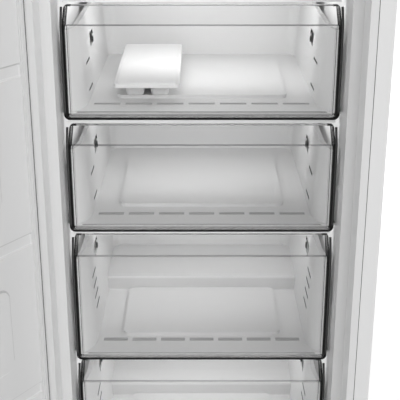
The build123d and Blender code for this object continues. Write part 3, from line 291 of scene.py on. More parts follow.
# the painted dark and grey lines of a clear front: from, to, soft border and, where it isn't 1, strength;
# -0.01 lies outside of the front
outlineLook = {
    "creaseSoft": 0.0008, "footSoft": 0.002, "footWall": 0.4,
    "wall": (-0.01, 0.0050, 0.0004),
    "cornerSide": (-0.01, 0.012, 0.001), "cornerTop": (-0.01, 0.0024, 0.0005),
    "outerWall": (-0.01, 0.0022, 0.0005, 0.9), "innerWall": (0.0052, 0.0068, 0.0004, 0.9),
    "between": (-0.01, 0.0068, 0.0005, 0.7), "inset": (0.0073, 0.0085, 0.0004),
    "innerInset": (0.0098, 0.0105, 0.0004, 0.4), "footZone": (-0.01, 0.0175, 0.0005, 0.12),
    "footLine": (0.0162, 0.0184, 0.0004), "crease": (-0.0006, 0.0006, 0.0003),
    "rim": (0.0, 0.0012, 0.0004, 0.7),
}


def makeOutline():
    # painted shade: the dark and grey lines that a clear moulding shows where one looks along its walls,
    # painted into its colour; the distance from the rounded outline is
    # r - |(max(r - dx, 0), max(r - dz, 0))| + max(min(dx, dz) - r, 0), with dz stretched; along the foot the
    # wall is fainter and a line stands over it
    tree, given, target = newGroup(
        "wallOutline",
        [("Position", "v", None), ("Half Width", "f", 0.23), ("Bottom", "f", 0.0), ("Crease", "f", 0.2),
         ("Top", "f", 0.25), ("Radius", "f", 0.006), ("Rise Stretch", "f", 1.7)],
        [("Black", "f"), ("Grey", "f")])
    x, _, z = axesOf(tree, given["Position"])
    radius = given["Radius"]

    def line(value, name):
        return lineMask(tree, value, *outlineLook[name])

    side = difference(tree, given["Half Width"], absolute(tree, x))
    rise = product(tree, difference(tree, z, given["Bottom"]), given["Rise Stretch"])
    corners = [largest(tree, difference(tree, radius, value), 0.0) for value in (side, rise)]
    squares = total(tree, *[product(tree, value, value) for value in corners])
    inner = largest(tree, difference(tree, calculate(tree, "MINIMUM", side, rise), radius), 0.0)
    depth = total(tree, difference(tree, radius, calculate(tree, "SQRT", squares)), inner)
    above = difference(tree, z, given["Crease"])
    isAbove = mapRange(tree, above, -outlineLook["creaseSoft"], outlineLook["creaseSoft"])
    isBelow = difference(tree, 1.0, isAbove)
    fromTop = difference(tree, given["Top"], z)
    isFoot = mapRange(tree, difference(tree, side, rise), 0.0, outlineLook["footSoft"])
    fainter = mapRange(tree, isFoot, 0.0, 1.0, 1.0, outlineLook["footWall"], smooth=False)
    wall = product(tree, line(depth, "wall"), isBelow, fainter)
    corner = product(tree, line(side, "cornerSide"), line(fromTop, "cornerTop"))
    pair = product(tree, largest(tree, line(side, "outerWall"), line(side, "innerWall")), isAbove)
    between = product(tree, line(side, "between"), isAbove)
    inset = product(tree, largest(tree, line(depth, "inset"), line(depth, "innerInset")), isBelow)
    foot = product(tree, largest(tree, line(rise, "footZone"), line(rise, "footLine")), isFoot)
    feedAll(tree, target, {
        "Black": largest(tree, wall, pair, corner),
        "Grey": largest(tree, between, inset, foot, line(above, "crease"), line(fromTop, "rim")),
    })
    return tree


hazeLook = {"swirl": (7.0, 6.0, 0.65), "swirlRange": (0.45, 0.75), "waveScale": 25.0, "bumpDistance": 0.0005}


def makeHaze():
    # wiping marks on clear plastic and glass, and the slight wave of their surface
    tree, given, target = newGroup(
        "wipedHaze", [("Position", "v", None), ("Base", "f", 0.03), ("Amount", "f", 0.08)],
        [("Roughness", "f"), ("Height", "f")])
    swirl = noiseFactor(tree, given["Position"], *hazeLook["swirl"])
    mask = mapRange(tree, swirl, *hazeLook["swirlRange"])
    feedAll(tree, target, {
        "Roughness": total(tree, given["Base"], product(tree, mask, given["Amount"])),
        "Height": noiseFactor(tree, given["Position"], hazeLook["waveScale"]),
    })
    return tree


# painted shade in the drain slots, the side openings and the step; each hole: its middle from the front and
# from the bottom, half width, half height, share of the colour left
tubLook = {
    "colour": 0.855, "cloud": 0.02, "gloss": 0.38, "grain": 900.0, "bump": 0.1,
    "slotY": 0.054, "slotHalf": 0.0060, "slotSoft": 0.0008, "slotPitch": 0.055, "slotLength": 0.046,
    "dashSoft": 0.0005, "slotReach": 0.19, "slotTop": 0.0145, "endSoft": 0.001, "slotShade": 0.78,
    "wellHalf": 0.0024, "wellSoft": 0.0004, "wellShade": 0.78, "sideFrom": 0.15, "sideSoft": 0.001,
    "border": 0.0008,
    "smallHoles": ((0.114, 0.072, 0.0245, 0.0019, 0.35), (0.112, 0.025, 0.0245, 0.0019, 0.45),
                   (0.198, 0.096, 0.0243, 0.0115, 0.1)),
    "largeHoles": ((0.105, 0.063, 0.0245, 0.0019, 0.35), (0.105, 0.0845, 0.0245, 0.0019, 0.35),
                   (0.105, 0.106, 0.0245, 0.0019, 0.35), (0.105, 0.1275, 0.0245, 0.0019, 0.35),
                   (0.170, 0.154, 0.0243, 0.0115, 0.1)),
    "stepped": (5, 6), "stepY": 0.265, "stepHalf": 0.003, "stepSoft": 0.001,
    "stepZ": 0.024, "stepRise": 0.011, "riseSoft": 0.003, "stepShade": 0.92,
}
# pitches added before a remainder is taken, so that it repeats in the same way below zero
wraps = 10


def makeSlotRow():
    # masks of painted shade in and round the dashes of drain slots across a tub's floor: |wrap(x)| under half
    # a dash, |y - row| under the groove's half width
    tree, given, target = newGroup(
        "slotRow", [("Position", "v", None), ("Row", "f", 0.0), ("Floor", "f", 0.0)],
        [("Groove", "f"), ("Well", "f")])
    x, y, z = axesOf(tree, given["Position"])
    pitch = tubLook["slotPitch"]
    wrapped = calculate(tree, "PINGPONG", total(tree, x, wraps * pitch), pitch / 2)
    under = mapRange(tree, z, given["Floor"], difference(tree, given["Floor"], tubLook["endSoft"]))
    dash = product(tree, belowMask(tree, wrapped, tubLook["slotLength"] / 2, tubLook["dashSoft"]),
                   nearMask(tree, x, 0.0, tubLook["slotReach"], tubLook["endSoft"]), under)
    away = absolute(tree, difference(tree, y, given["Row"]))
    well = mapRange(tree, away, tubLook["wellHalf"] + tubLook["wellSoft"], tubLook["wellHalf"])
    feedAll(tree, target, {
        "Groove": product(tree, belowMask(tree, away, tubLook["slotHalf"], tubLook["slotSoft"]), dash),
        "Well": product(tree, well, dash),
    })
    return tree


# dark and light are the painted shade and painted highlight of the door liner's relief
doorLook = {
    "colour": 0.850, "dark": 0.752, "light": 0.885,
    "cloud": 0.025, "gloss": 0.32, "grain": 700.0, "bump": 0.08,
    "hinge": (-0.2875, -0.3485), "open": 125.0, "middle": 0.2875, "firstLevel": 0.111, "pitch": 0.281,
    "grooveHalf": 0.01075, "slope": 0.0028, "soft": 0.0004, "reach": 0.2830, "reachSoft": 0.001,
    "panelHalf": (0.2235, 0.075), "panelRadius": 0.018, "panelEdge": 0.0016, "panelSoft": 0.0006,
    "lipRange": (-0.055, -0.065),
}


def makeDoorRelief():
    # painted shade and painted highlight on the flanks of the door liner's grooves and panels, as if lit from
    # above: the upper flank of each groove and each panel's outline, but for its bottom, are painted darker,
    # the lower flank and the outline's bottom lighter; w runs from the hinge along the open door,
    # d = wrap(z) is the height over the nearest groove, e over the nearest panel's middle, and the panel's
    # outline is where |(max(|w| - a, 0), max(|e| - b, 0))| - r = 0
    tree, given, target = newGroup("doorRelief", [("Position", "v", None)], [("Dark", "f"), ("Light", "f")])
    x, y, z = axesOf(tree, given["Position"])
    turn = math.radians(doorLook["open"])
    pitch, radius = doorLook["pitch"], doorLook["panelRadius"]
    half, slope, soft = doorLook["grooveHalf"], doorLook["slope"], doorLook["soft"]
    fromX = difference(tree, x, doorLook["hinge"][0])
    fromY = difference(tree, y, doorLook["hinge"][1])
    w = total(tree, product(tree, fromX, math.cos(turn)), product(tree, fromY, -math.sin(turn)))
    w = difference(tree, w, doorLook["middle"])
    up = difference(tree, z, doorLook["firstLevel"])
    d, e = (difference(tree, calculate(tree, "MODULO", total(tree, up, shift * pitch), pitch), pitch / 2)
            for shift in (wraps + 0.5, wraps))
    along = mapRange(tree, absolute(tree, w), doorLook["reach"] + doorLook["reachSoft"], doorLook["reach"])
    dark = product(tree, lineMask(tree, d, half - slope, half + soft, soft), along)
    light = product(tree, lineMask(tree, d, -half - soft, -half + slope, soft), along)
    over = [largest(tree, difference(tree, absolute(tree, value), reach - radius), 0.0)
            for value, reach in zip((w, e), doorLook["panelHalf"])]
    squares = total(tree, *[product(tree, value, value) for value in over])
    outside = difference(tree, calculate(tree, "SQRT", squares), radius)
    ring = lineMask(tree, outside, -doorLook["panelEdge"], doorLook["panelEdge"], doorLook["panelSoft"])
    lip = mapRange(tree, e, *doorLook["lipRange"])
    feedAll(tree, target, {
        "Dark": largest(tree, dark, product(tree, ring, difference(tree, 1.0, lip))),
        "Light": largest(tree, light, product(tree, ring, lip)),
    })
    return tree


effects = {
    "moulded": makeMoulded(), "paint": makePaint(), "spangle": makeSpangle(), "drawn": makeDrawn(),
    "outline": makeOutline(), "haze": makeHaze(), "slotRow": makeSlotRow(), "doorRelief": makeDoorRelief(),
}
print("shared effects built:", len(effects))


# Finishes

def rgb(value, tint=(1.0, 1.0, 1.0)):
    # a display grey from 0 to 1, tinted, as a linear colour by the sRGB curve
    linear = [((v + 0.055) / 1.055) ** 2.4 if v > 0.04 else v / 12.92 for v in (value * t for t in tint)]
    return (*linear, 1.0)


def startMaterial(name):
    material = bpy.data.materials.new(name)
    material.use_nodes = True
    tree = material.node_tree
    return material, tree, tree.nodes["Principled BSDF"], addNode(tree, "TexCoord").outputs["Object"]


def connectSurface(tree, shader, effect, strength, distance):
    # an effect's gloss, and its height as a bump
    bump = addNode(tree, "Bump")
    feedAll(tree, bump, {"Strength": strength, "Distance": distance, "Height": effect["Height"]})
    feedAll(tree, shader, {"Roughness": effect["Roughness"], "Normal": bump.outputs["Normal"]})


def startMoulded(name, colour, cloud, gloss, grain, bump):
    # moulded plastic whose clouded colour the caller still connects
    material, tree, shader, place = startMaterial(name)
    effect = useGroup(tree, "moulded", {"Position": place, "Colour": colour, "Cloud": cloud, "Gloss": gloss,
                                        "Grain Scale": grain})
    connectSurface(tree, shader, effect, bump, mouldedLook["bumpDistance"])
    return material, tree, shader, place, effect["Colour"]


def mouldedFinish(name, colour, cloud, gloss, grain, bump):
    material, tree, shader, _, clouded = startMoulded(name, colour, cloud, gloss, grain, bump)
    feedAll(tree, shader, {"Base Color": clouded})
    return material


def paintFinish(name, colour, dust, dustHeight, gloss):
    material, tree, shader, place = startMaterial(name)
    effect = useGroup(tree, "paint", {"Position": place, "Colour": colour, "Dust": dust, "Gloss": gloss,
                                      "Dust Height": dustHeight})
    feedAll(tree, shader, {"Base Color": effect["Colour"]})
    connectSurface(tree, shader, effect, paintLook["bumpStrength"], paintLook["bumpDistance"])
    return material


def spangleFinish(name, dark, light):
    material, tree, shader, place = startMaterial(name)
    effect = useGroup(tree, "spangle", {"Position": place, "Dark": dark, "Light": light})
    feedAll(tree, shader, {"Base Color": effect["Colour"], "Metallic": zincLook["metallic"]})
    connectSurface(tree, shader, effect, zincLook["bumpStrength"], zincLook["bumpDistance"])
    return material


def drawnFinish(name, colour, tarnish, stretch):
    material, tree, shader, place = startMaterial(name)
    effect = useGroup(tree, "drawn", {"Position": place, "Colour": colour, "Tarnish": tarnish,
                                      "Stretch": stretch})
    feedAll(tree, shader, {"Base Color": effect["Colour"], "Metallic": 1.0})
    connectSurface(tree, shader, effect, drawnLook["bumpStrength"], drawnLook["bumpDistance"])
    return material


def connectClear(tree, shader, place, colour, look):
    # a clear material: haze, colour, and lamps and scattered light that go straight through, so that what is
    # behind it is lit
    haze = useGroup(tree, "haze", {"Position": place, "Base": look["hazeBase"], "Amount": look["haze"]})
    connectSurface(tree, shader, haze, look["bump"], hazeLook["bumpDistance"])
    feedAll(tree, shader, {"Base Color": colour, "Transmission Weight": 1.0, "IOR": look["refraction"]})
    path = addNode(tree, "LightPath").outputs
    film = addNode(tree, "BsdfTransparent")
    feedAll(tree, film, {"Color": (look["tint"], look["tint"], look["tint"], 1)})
    mixer = addNode(tree, "MixShader")
    feed(tree, mixer.inputs[0], largest(tree, path["Is Shadow Ray"], path["Is Diffuse Ray"]))
    feed(tree, mixer.inputs[1], shader.outputs[0])
    feed(tree, mixer.inputs[2], film.outputs[0])
    feedAll(tree, tree.nodes["Material Output"], {"Surface": mixer.outputs[0]})


# black and grey are the painted shade of a clear front's lines
frontLook = {
    "halfWidth": 0.2304, "smallCrease": 0.158, "largeCrease": 0.210,
    "clear": (0.974, 0.974, 0.974, 1), "black": (0.01, 0.01, 0.01, 1), "grey": (0.224, 0.224, 0.224, 1),
    "tint": 0.97, "hazeBase": 0.015, "haze": 0.05, "bump": 0.05, "refraction": 1.2,
}


def creaseOver(number, bottom):
    # the height of the fold under a clear front's grip band
    return bottom + frontLook["smallCrease" if number < firstLarge else "largeCrease"]


def clearFrontFinish(number, bottom, top):
    # clear moulding with painted shade where one looks along its side walls and floor
    material, tree, shader, place = startMaterial(f"clearFront{number}")
    outline = useGroup(tree, "outline", {
        "Position": place, "Bottom": bottom, "Crease": creaseOver(number, bottom), "Top": top,
        "Half Width": frontLook["halfWidth"],
    })
    shade = mixColour(tree, outline["Grey"], frontLook["clear"], frontLook["grey"])
    connectClear(tree, shader, place, mixColour(tree, outline["Black"], shade, frontLook["black"]), frontLook)
    return material


shelfLook = {
    "clear": (0.975, 0.975, 0.975, 1), "rim": (0.45, 0.6, 0.55, 1), "rimRange": (0.2355, 0.238),
    "tint": 0.972, "hazeBase": 0.0, "haze": 0.04, "bump": 0.03, "refraction": 1.5,
}


def shelfGlassFinish():
    # float glass, green along its side edges
    material, tree, shader, place = startMaterial("shelfGlass")
    rim = mapRange(tree, absolute(tree, axesOf(tree, place)[0]), *shelfLook["rimRange"])
    connectClear(tree, shader, place, mixColour(tree, rim, shelfLook["clear"], shelfLook["rim"]), shelfLook)
    return material


def tubFinish(number, bottom, plane):
    # moulded white, with painted shade in and round the drain slots, in the side openings and on the step in
    # the large tubs' floors
    plain = tubLook["colour"]
    material, tree, shader, place, shaded = startMoulded(
        f"tub{number}", rgb(plain), tubLook["cloud"], tubLook["gloss"], tubLook["grain"], tubLook["bump"])
    row = useGroup(tree, "slotRow", {"Position": place, "Row": plane + tubLook["slotY"],
                                     "Floor": bottom + tubLook["slotTop"]})
    x, y, z = axesOf(tree, place)
    isSide = mapRange(tree, absolute(tree, x), tubLook["sideFrom"], tubLook["sideFrom"] + tubLook["sideSoft"])
    # painted shade in and round the drain slots
    shaded = mixColour(tree, row["Groove"], shaded, rgb(plain * tubLook["slotShade"]))
    shaded = mixColour(tree, row["Well"], shaded, rgb(plain * tubLook["wellShade"]))
    # painted shade on the front face of the step in the floor of tubs 5 and 6
    if number in tubLook["stepped"]:
        across = nearMask(tree, y, plane + tubLook["stepY"], tubLook["stepHalf"], tubLook["stepSoft"])
        upward = nearMask(tree, z, bottom + tubLook["stepZ"], tubLook["stepRise"], tubLook["riseSoft"])
        shaded = mixColour(tree, product(tree, across, upward), shaded, rgb(plain * tubLook["stepShade"]))
    # painted shade in the side vents and grips
    holes = tubLook["smallHoles" if number < firstLarge else "largeHoles"]
    for middleY, middleZ, halfY, halfZ, shade in holes:
        hole = product(tree, nearMask(tree, y, plane + middleY, halfY, tubLook["border"]),
                       nearMask(tree, z, bottom + middleZ, halfZ, tubLook["border"]), isSide)
        shaded = mixColour(tree, hole, shaded, rgb(plain * shade))
    feedAll(tree, shader, {"Base Color": shaded})
    return material


def doorFinish():
    # moulded white with painted shade on the upper flanks of its grooves and round its panels, and a painted
    # highlight on the lower flanks and along the panels' lower edge
    material, tree, shader, place, shaded = startMoulded(
        "doorPlastic", rgb(doorLook["colour"]), doorLook["cloud"], doorLook["gloss"], doorLook["grain"],
        doorLook["bump"])
    relief = useGroup(tree, "doorRelief", {"Position": place})
    shaded = mixColour(tree, relief["Dark"], shaded, rgb(doorLook["dark"]))
    shaded = mixColour(tree, relief["Light"], shaded, rgb(doorLook["light"]))
    feedAll(tree, shader, {"Base Color": shaded})
    return material


# colour, clouding, gloss, grain scale and bump strength
mouldedRows = {
    "linerPlastic": (rgb(0.885), 0.025, 0.32, 700.0, 0.08),
    "trimPlastic": (rgb(0.955), 0.015, 0.3, 900.0, 0.08),
    "capPlastic": (rgb(0.90), 0.03, 0.36, 1100.0, 0.2),
    "greyPlastic": (rgb(0.72), 0.05, 0.45, 1200.0, 0.25),
    "darkPlastic": (rgb(0.16), 0.15, 0.5, 1200.0, 0.3),
    "gasketRubber": (rgb(0.86), 0.05, 0.55, 500.0, 0.15),
    "blackRubber": (rgb(0.1), 0.2, 0.6, 500.0, 0.3),
    "nylon": (rgb(0.84, (1, 0.995, 0.97)), 0.04, 0.4, 900.0, 0.12),
    "lampCover": (rgb(0.95, (1, 1, 0.985)), 0.02, 0.3, 300.0, 0.3),
    "foamCore": (rgb(0.86, (1, 0.95, 0.76)), 0.2, 0.8, 260.0, 0.8),
}
# colour of the coat and of the dust on it, the height that the dust reaches, and gloss
paintRows = {
    "cabinetPaint": (rgb(0.90), rgb(0.70, (1, 0.98, 0.95)), 0.35, 0.3),
    "rearSheet": (rgb(0.62), rgb(0.5, (1, 0.98, 0.94)), 0.6, 0.4),
    "blackEnamel": (rgb(0.1), rgb(0.34), 0.5, 0.35),
}
finishes = {name: mouldedFinish(name, *row) for name, row in mouldedRows.items()}
finishes.update({name: paintFinish(name, *row) for name, row in paintRows.items()})
finishes.update({
    "zincSheet": spangleFinish("zincSheet", rgb(0.64), rgb(0.72)),
    "aluminium": drawnFinish("aluminium", rgb(0.82), rgb(0.6), (600.0, 40.0, 40.0)),
    "copper": drawnFinish("copper", rgb(0.82, (1, 0.72, 0.56)), rgb(0.5, (1, 0.7, 0.5)),
                          (300.0, 300.0, 40.0)),
    "doorPlastic": doorFinish(),
    "shelfGlass": shelfGlassFinish(),
})

slotFinish = {
    "steel_white": "cabinetPaint", "steel_grey": "rearSheet", "galvanised": "zincSheet",
    "liner_white": "linerPlastic", "plastic_white": "capPlastic", "plastic_grey": "greyPlastic",
    "plastic_black": "darkPlastic", "shelf_glass": "shelfGlass", "foam": "foamCore", "gasket": "gasketRubber",
    "rubber_black": "blackRubber", "aluminium": "aluminium", "copper": "copper",
    "compressor_black": "blackEnamel", "nylon": "nylon", "light_cover": "lampCover",
}
slotOf = {row["node"]: row["material_slot"] for row in frame["record"]["subparts"]}


def finishNode(name, material):
    mesh = nodes[name].data
    for slot in nodes[name].material_slots:
        slot.material = material
    if not mesh.materials:
        mesh.materials.append(material)


for nodeName, slotName in slotOf.items():
    if slotName in slotFinish:
        finishNode(nodeName, finishes[slotFinish[slotName]])
finishNode("shelf_trims", finishes["trimPlastic"])
finishNode("door_liner", finishes["doorPlastic"])
for number in drawerNumbers:
    low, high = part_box(f"drawer_{number}_front")
    finishNode(f"drawer_{number}_front", clearFrontFinish(number, low.z, high.z))
    finishNode(f"drawer_{number}_tub", tubFinish(number, low.z, low.y))
print("finishes set on", len(nodes), "nodes")


# New pieces, worked out as whole arrays

def gridFaces(rows, columns):
    # quads over a grid of points whose columns are joined round
    row, column = np.meshgrid(np.arange(rows - 1), np.arange(columns), indexing="ij")
    after = (column + 1) % columns
    first, second = row * columns, (row + 1) * columns
    return np.stack([first + column, first + after, second + after, second + column], axis=-1).reshape(-1, 4)


def tubeFaces(rows, columns):
    # a swept outline's quads, closed by one face at each end
    last = (rows - 1) * columns
    ends = [list(range(columns)), list(range(last + columns - 1, last - 1, -1))]
    return gridFaces(rows, columns).tolist() + ends


def copiedFaces(rows, columns, copies):
    # the same grid for every copy, with its points numbered on
    offsets = np.arange(copies) * rows * columns
    return (gridFaces(rows, columns)[None] + offsets[:, None, None]).reshape(-1, 4)


def meshPiece(name, points, faces, body, finish):
    # a piece that rides on a body and takes the finish it is given
    mesh = bpy.data.meshes.new(name)
    mesh.from_pydata(points.reshape(-1, 3).tolist(), [], [list(face) for face in faces])
    mesh.polygons.foreach_set("use_smooth", np.ones(len(faces), bool))
    mesh.materials.append(finish)
    piece = bpy.data.objects.new(name, mesh)
    bpy.context.scene.collection.objects.link(piece)
    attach(piece, body)


seamStrip = {
    "width": 0.0009, "depth": 0.0006, "below": 0.0003, "beside": 0.0005, "radius": 0.0225, "cornerSteps": 14,
    "aroundSteps": 12,
}


def makeSeamStrip():
    # dark strip in the seam between the liner's flange and the steel, a dark piece put where the seam shows
    # shade: an oval of the angle a, carried along a path of two legs, a top and two quarter circles;
    # point = path + normal * w cos(a), set back from the liner's front by b + d (1 - sin(a))
    low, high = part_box("inner_liner")
    half, top, bottom = high.x + seamStrip["beside"], high.z + seamStrip["beside"], low.z
    radius = seamStrip["radius"]
    turn = np.linspace(0.0, math.pi / 2, seamStrip["cornerSteps"])
    right = np.stack([half - radius + radius * np.cos(turn), top - radius + radius * np.sin(turn)], axis=1)
    out = np.stack([np.cos(turn), np.sin(turn)], axis=1)
    path = np.concatenate([[(half, bottom)], right, right[::-1] * (-1, 1), [(-half, bottom)]])
    normal = np.concatenate([[(1, 0)], out, out[::-1] * (-1, 1), [(-1, 0)]])
    angle = np.linspace(2 * math.pi, 0.0, seamStrip["aroundSteps"], endpoint=False)
    across = path[:, None, :] + normal[:, None, :] * (seamStrip["width"] / 2 * np.cos(angle))[None, :, None]
    front = low.y + seamStrip["below"] + seamStrip["depth"] * (1.0 - np.sin(angle))
    points = np.stack([across[..., 0], np.broadcast_to(front, across.shape[:2]), across[..., 1]], axis=-1)
    faces = tubeFaces(len(path), len(angle))
    meshPiece("seam_strip", points, faces, "cabinet", finishes["blackRubber"])


panelScrews = {
    "radius": 0.0042, "height": 0.0011, "roundness": 0.9, "seat": 0.99, "recess": 0.0009, "slotHalf": 0.0006,
    "halfSoft": 0.0002, "slotReach": 0.0021, "reachSoft": 0.0003, "rings": 14, "steps": 40, "sideX": 0.2885,
    "levels": (0.33, 0.70, 1.08, 1.46, 1.82), "middles": (0.33, 1.82),
}


def makePanelScrews():
    # low domed heads on the rear panel; over radius r and angle t the height is h sqrt(1 - k r^2) less a
    # cross: recess where min(|x|, |z|) is under the slot's half width and max(|x|, |z|) is under its reach
    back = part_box("rear_panel")[1].y
    share = np.linspace(0.0, 1.0, panelScrews["rings"])
    angle = np.linspace(0.0, 2 * math.pi, panelScrews["steps"], endpoint=False)
    r, t = np.meshgrid(share, angle, indexing="ij")
    x, z = panelScrews["radius"] * r * np.cos(t), panelScrews["radius"] * r * np.sin(t)
    dome = panelScrews["height"] * np.sqrt(1.0 - panelScrews["roundness"] * r ** 2)
    nearest, farthest = np.minimum(abs(x), abs(z)), np.maximum(abs(x), abs(z))
    narrow = np.clip((panelScrews["slotHalf"] - nearest) / panelScrews["halfSoft"] + 0.5, 0, 1)
    short = np.clip((panelScrews["slotReach"] - farthest) / panelScrews["reachSoft"] + 0.5, 0, 1)
    height = np.where(r > panelScrews["seat"], 0.0, dome - panelScrews["recess"] * narrow * short)
    head = np.stack([x, height, z], axis=-1).reshape(-1, 3)
    places = [(side * panelScrews["sideX"], level) for side in (-1, 1) for level in panelScrews["levels"]]
    places += [(0.0, level) for level in panelScrews["middles"]]
    centres = np.array([(x0, back, z0) for x0, z0 in places])
    points = centres[:, None, :] + head[None, :, :]
    faces = copiedFaces(panelScrews["rings"], panelScrews["steps"], len(places))
    meshPiece("panel_screws", points, faces, "cabinet", finishes["zincSheet"])


dialMarks = {
    "count": 9, "sweep": 135.0, "radius": 0.0225, "half": (0.00045, 0.0004, 0.0018), "power": 0.5, "rings": 9,
    "steps": 16,
}


def makeDialMarks():
    # small raised bars round the temperature knob, each a rounded block:
    # (a c(v) c(u), b c(v) s(u), l s(v)), where c and s are cosine and sine raised to a power under one
    low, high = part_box("temperature_knob")
    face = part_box("ceiling_housing")[0].y
    centre = np.array([(low.x + high.x) / 2, face, (low.z + high.z) / 2])
    u = np.linspace(-math.pi, math.pi, dialMarks["steps"], endpoint=False)
    v = np.linspace(-math.pi / 2, math.pi / 2, dialMarks["rings"])
    v, u = np.meshgrid(v, u, indexing="ij")
    cosU, sinU, cosV, sinV = (np.sign(value) * abs(value) ** dialMarks["power"]
                              for value in (np.cos(u), np.sin(u), np.cos(v), np.sin(v)))
    a, b, length = dialMarks["half"]
    bar = np.stack([a * cosV * cosU, b * cosV * sinU, length * sinV], axis=-1).reshape(-1, 3)
    turn = np.radians(np.linspace(-dialMarks["sweep"], dialMarks["sweep"], dialMarks["count"]))
    out = dialMarks["radius"] + bar[None, :, 2]
    x = out * np.sin(turn)[:, None] + bar[None, :, 0] * np.cos(turn)[:, None]
    z = out * np.cos(turn)[:, None] - bar[None, :, 0] * np.sin(turn)[:, None]
    y = np.broadcast_to(bar[None, :, 1], x.shape)
    points = centre + np.stack([x, y, z], axis=-1)
    faces = copiedFaces(dialMarks["rings"], dialMarks["steps"], dialMarks["count"])
    meshPiece("dial_marks", points, faces, "cabinet", finishes["greyPlastic"])


frontEdge = {
    "radius": 0.006, "out": 0.0018, "halfOut": 0.0022, "back": 0.0015, "halfBack": 0.0013, "top": 0.0008,
    "bandSetback": 0.0165, "bandSteps": 4, "cornerSteps": 8, "sideSteps": 12, "aroundSteps": 14,
    "foot": rgb(0.03), "side": rgb(0.22), "sideMottled": rgb(0.30), "footRise": (0.004, 0.014),
    "cloud": (60.0, 3.0), "gloss": (0.3, 0.5), "shine": 0.1,
}


def edgeFinish(number, bottom):
    # nearly black along the foot, smoky grey up the sides, as painted shade
    material, tree, shader, place = startMaterial(f"frontEdge{number}")
    start, end = frontEdge["footRise"]
    up = mapRange(tree, axesOf(tree, place)[2], bottom + start, bottom + end)
    cloud = noiseFactor(tree, place, *frontEdge["cloud"])
    side = mixColour(tree, cloud, frontEdge["side"], frontEdge["sideMottled"])
    feedAll(tree, shader, {
        "Base Color": mixColour(tree, up, frontEdge["foot"], side),
        "Roughness": mapRange(tree, cloud, 0.0, 1.0, *frontEdge["gloss"], smooth=False),
        "Specular IOR Level": frontEdge["shine"],
    })
    return material


def makeFrontEdge(number):
    # dark bead down both sides of a clear front and along its foot, a dark piece put where the gap beside the
    # front and the clear edge show shade: an oval of the angle a carried along a path that leans back over
    # the grip band; point = path + outward * (o + p cos(a)) + rear * (q + r sin(a))
    low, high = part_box(f"drawer_{number}_front")
    radius, crease = frontEdge["radius"], creaseOver(number, low.z)
    levels = np.concatenate([np.linspace(high.z - frontEdge["top"], crease, frontEdge["bandSteps"]),
                             np.linspace(crease, low.z + radius, frontEdge["sideSteps"])[1:]])
    turn = np.linspace(math.pi, 1.5 * math.pi, frontEdge["cornerSteps"])[1:]
    side = np.stack([np.full(len(levels), low.x), levels], axis=1)
    arc = np.stack([low.x + radius + radius * np.cos(turn), low.z + radius + radius * np.sin(turn)], axis=1)
    half = np.concatenate([side, arc])
    aside = np.tile((-1.0, 0.0), (len(levels), 1))
    out = np.concatenate([aside, np.stack([np.cos(turn), np.sin(turn)], axis=1)])
    path = np.concatenate([half, half[::-1] * (-1, 1)])
    out = np.concatenate([out, out[::-1] * (-1, 1)])
    lean = np.maximum(path[:, 1] - crease, 0.0) * frontEdge["bandSetback"] / (high.z - crease)
    angle = np.linspace(0.0, 2 * math.pi, frontEdge["aroundSteps"], endpoint=False)
    outward = frontEdge["out"] + frontEdge["halfOut"] * np.cos(angle)
    across = path[:, None, :] + out[:, None, :] * outward[None, :, None]
    back = low.y + lean[:, None] + frontEdge["back"] + frontEdge["halfBack"] * np.sin(angle)[None, :]
    points = np.stack([across[..., 0], back, across[..., 1]], axis=-1)
    faces = tubeFaces(len(path), len(angle))
    finish = edgeFinish(number, low.z)
    meshPiece(f"drawer_{number}_edge", points, faces, f"drawer_{number}", finish)


makeSeamStrip()
makePanelScrews()
makeDialMarks()
for number in drawerNumbers:
    makeFrontEdge(number)
print("new pieces made")


# Camera, lamps and floor

photoCamera = {"at": (-0.003, -1.8215, 1.6027), "pitch": 21.7, "lens": 88.2, "sensor": 36.0}


def makeCamera():
    data = bpy.data.cameras.new("photoCamera")
    camera = bpy.data.objects.new("photoCamera", data)
    bpy.context.scene.collection.objects.link(camera)
    camera.location = photoCamera["at"]
    camera.rotation_euler = (math.radians(90.0 - photoCamera["pitch"]), 0.0, 0.0)
    data.sensor_width = photoCamera["sensor"]
    data.lens = photoCamera["lens"]
    bpy.context.scene.camera = camera


worldLevel = 0.36


def makeWorld():
    # white to the camera, and soft grey light on the freezer
    world = bpy.data.worlds.new("studioWorld")
    bpy.context.scene.world = world
    world.use_nodes = True
    tree = world.node_tree
    strength = mapRange(tree, viewRays(tree), 0.0, 1.0, worldLevel, 1.0, smooth=False)
    feedAll(tree, tree.nodes["Background"], {"Color": white, "Strength": strength})


floorLook = {
    "size": 30.0, "grey": (0.8, 0.8, 0.8, 1), "roughness": 0.9, "reach": (1.0, 4.0), "glow": (0.35, 0.85),
}


def makeFloor():
    # flat and pale, and whiter to the camera away from the freezer, where no shadow falls
    half = floorLook["size"] / 2
    corners = [(-half, -half, 0), (half, -half, 0), (half, half, 0), (-half, half, 0)]
    mesh = bpy.data.meshes.new("floor")
    mesh.from_pydata(corners, [], [(0, 1, 2, 3)])
    floor = bpy.data.objects.new("floor", mesh)
    bpy.context.scene.collection.objects.link(floor)
    material, tree, shader, place = startMaterial("floorPaper")
    reach = addNode(tree, "VectorMath", operation="LENGTH")
    feed(tree, reach.inputs[0], place)
    glow = mapRange(tree, reach.outputs["Value"], *floorLook["reach"], *floorLook["glow"])
    feedAll(tree, shader, {
        "Base Color": floorLook["grey"], "Roughness": floorLook["roughness"], "Emission Color": white,
        "Emission Strength": product(tree, viewRays(tree), glow),
    })
    mesh.materials.append(material)


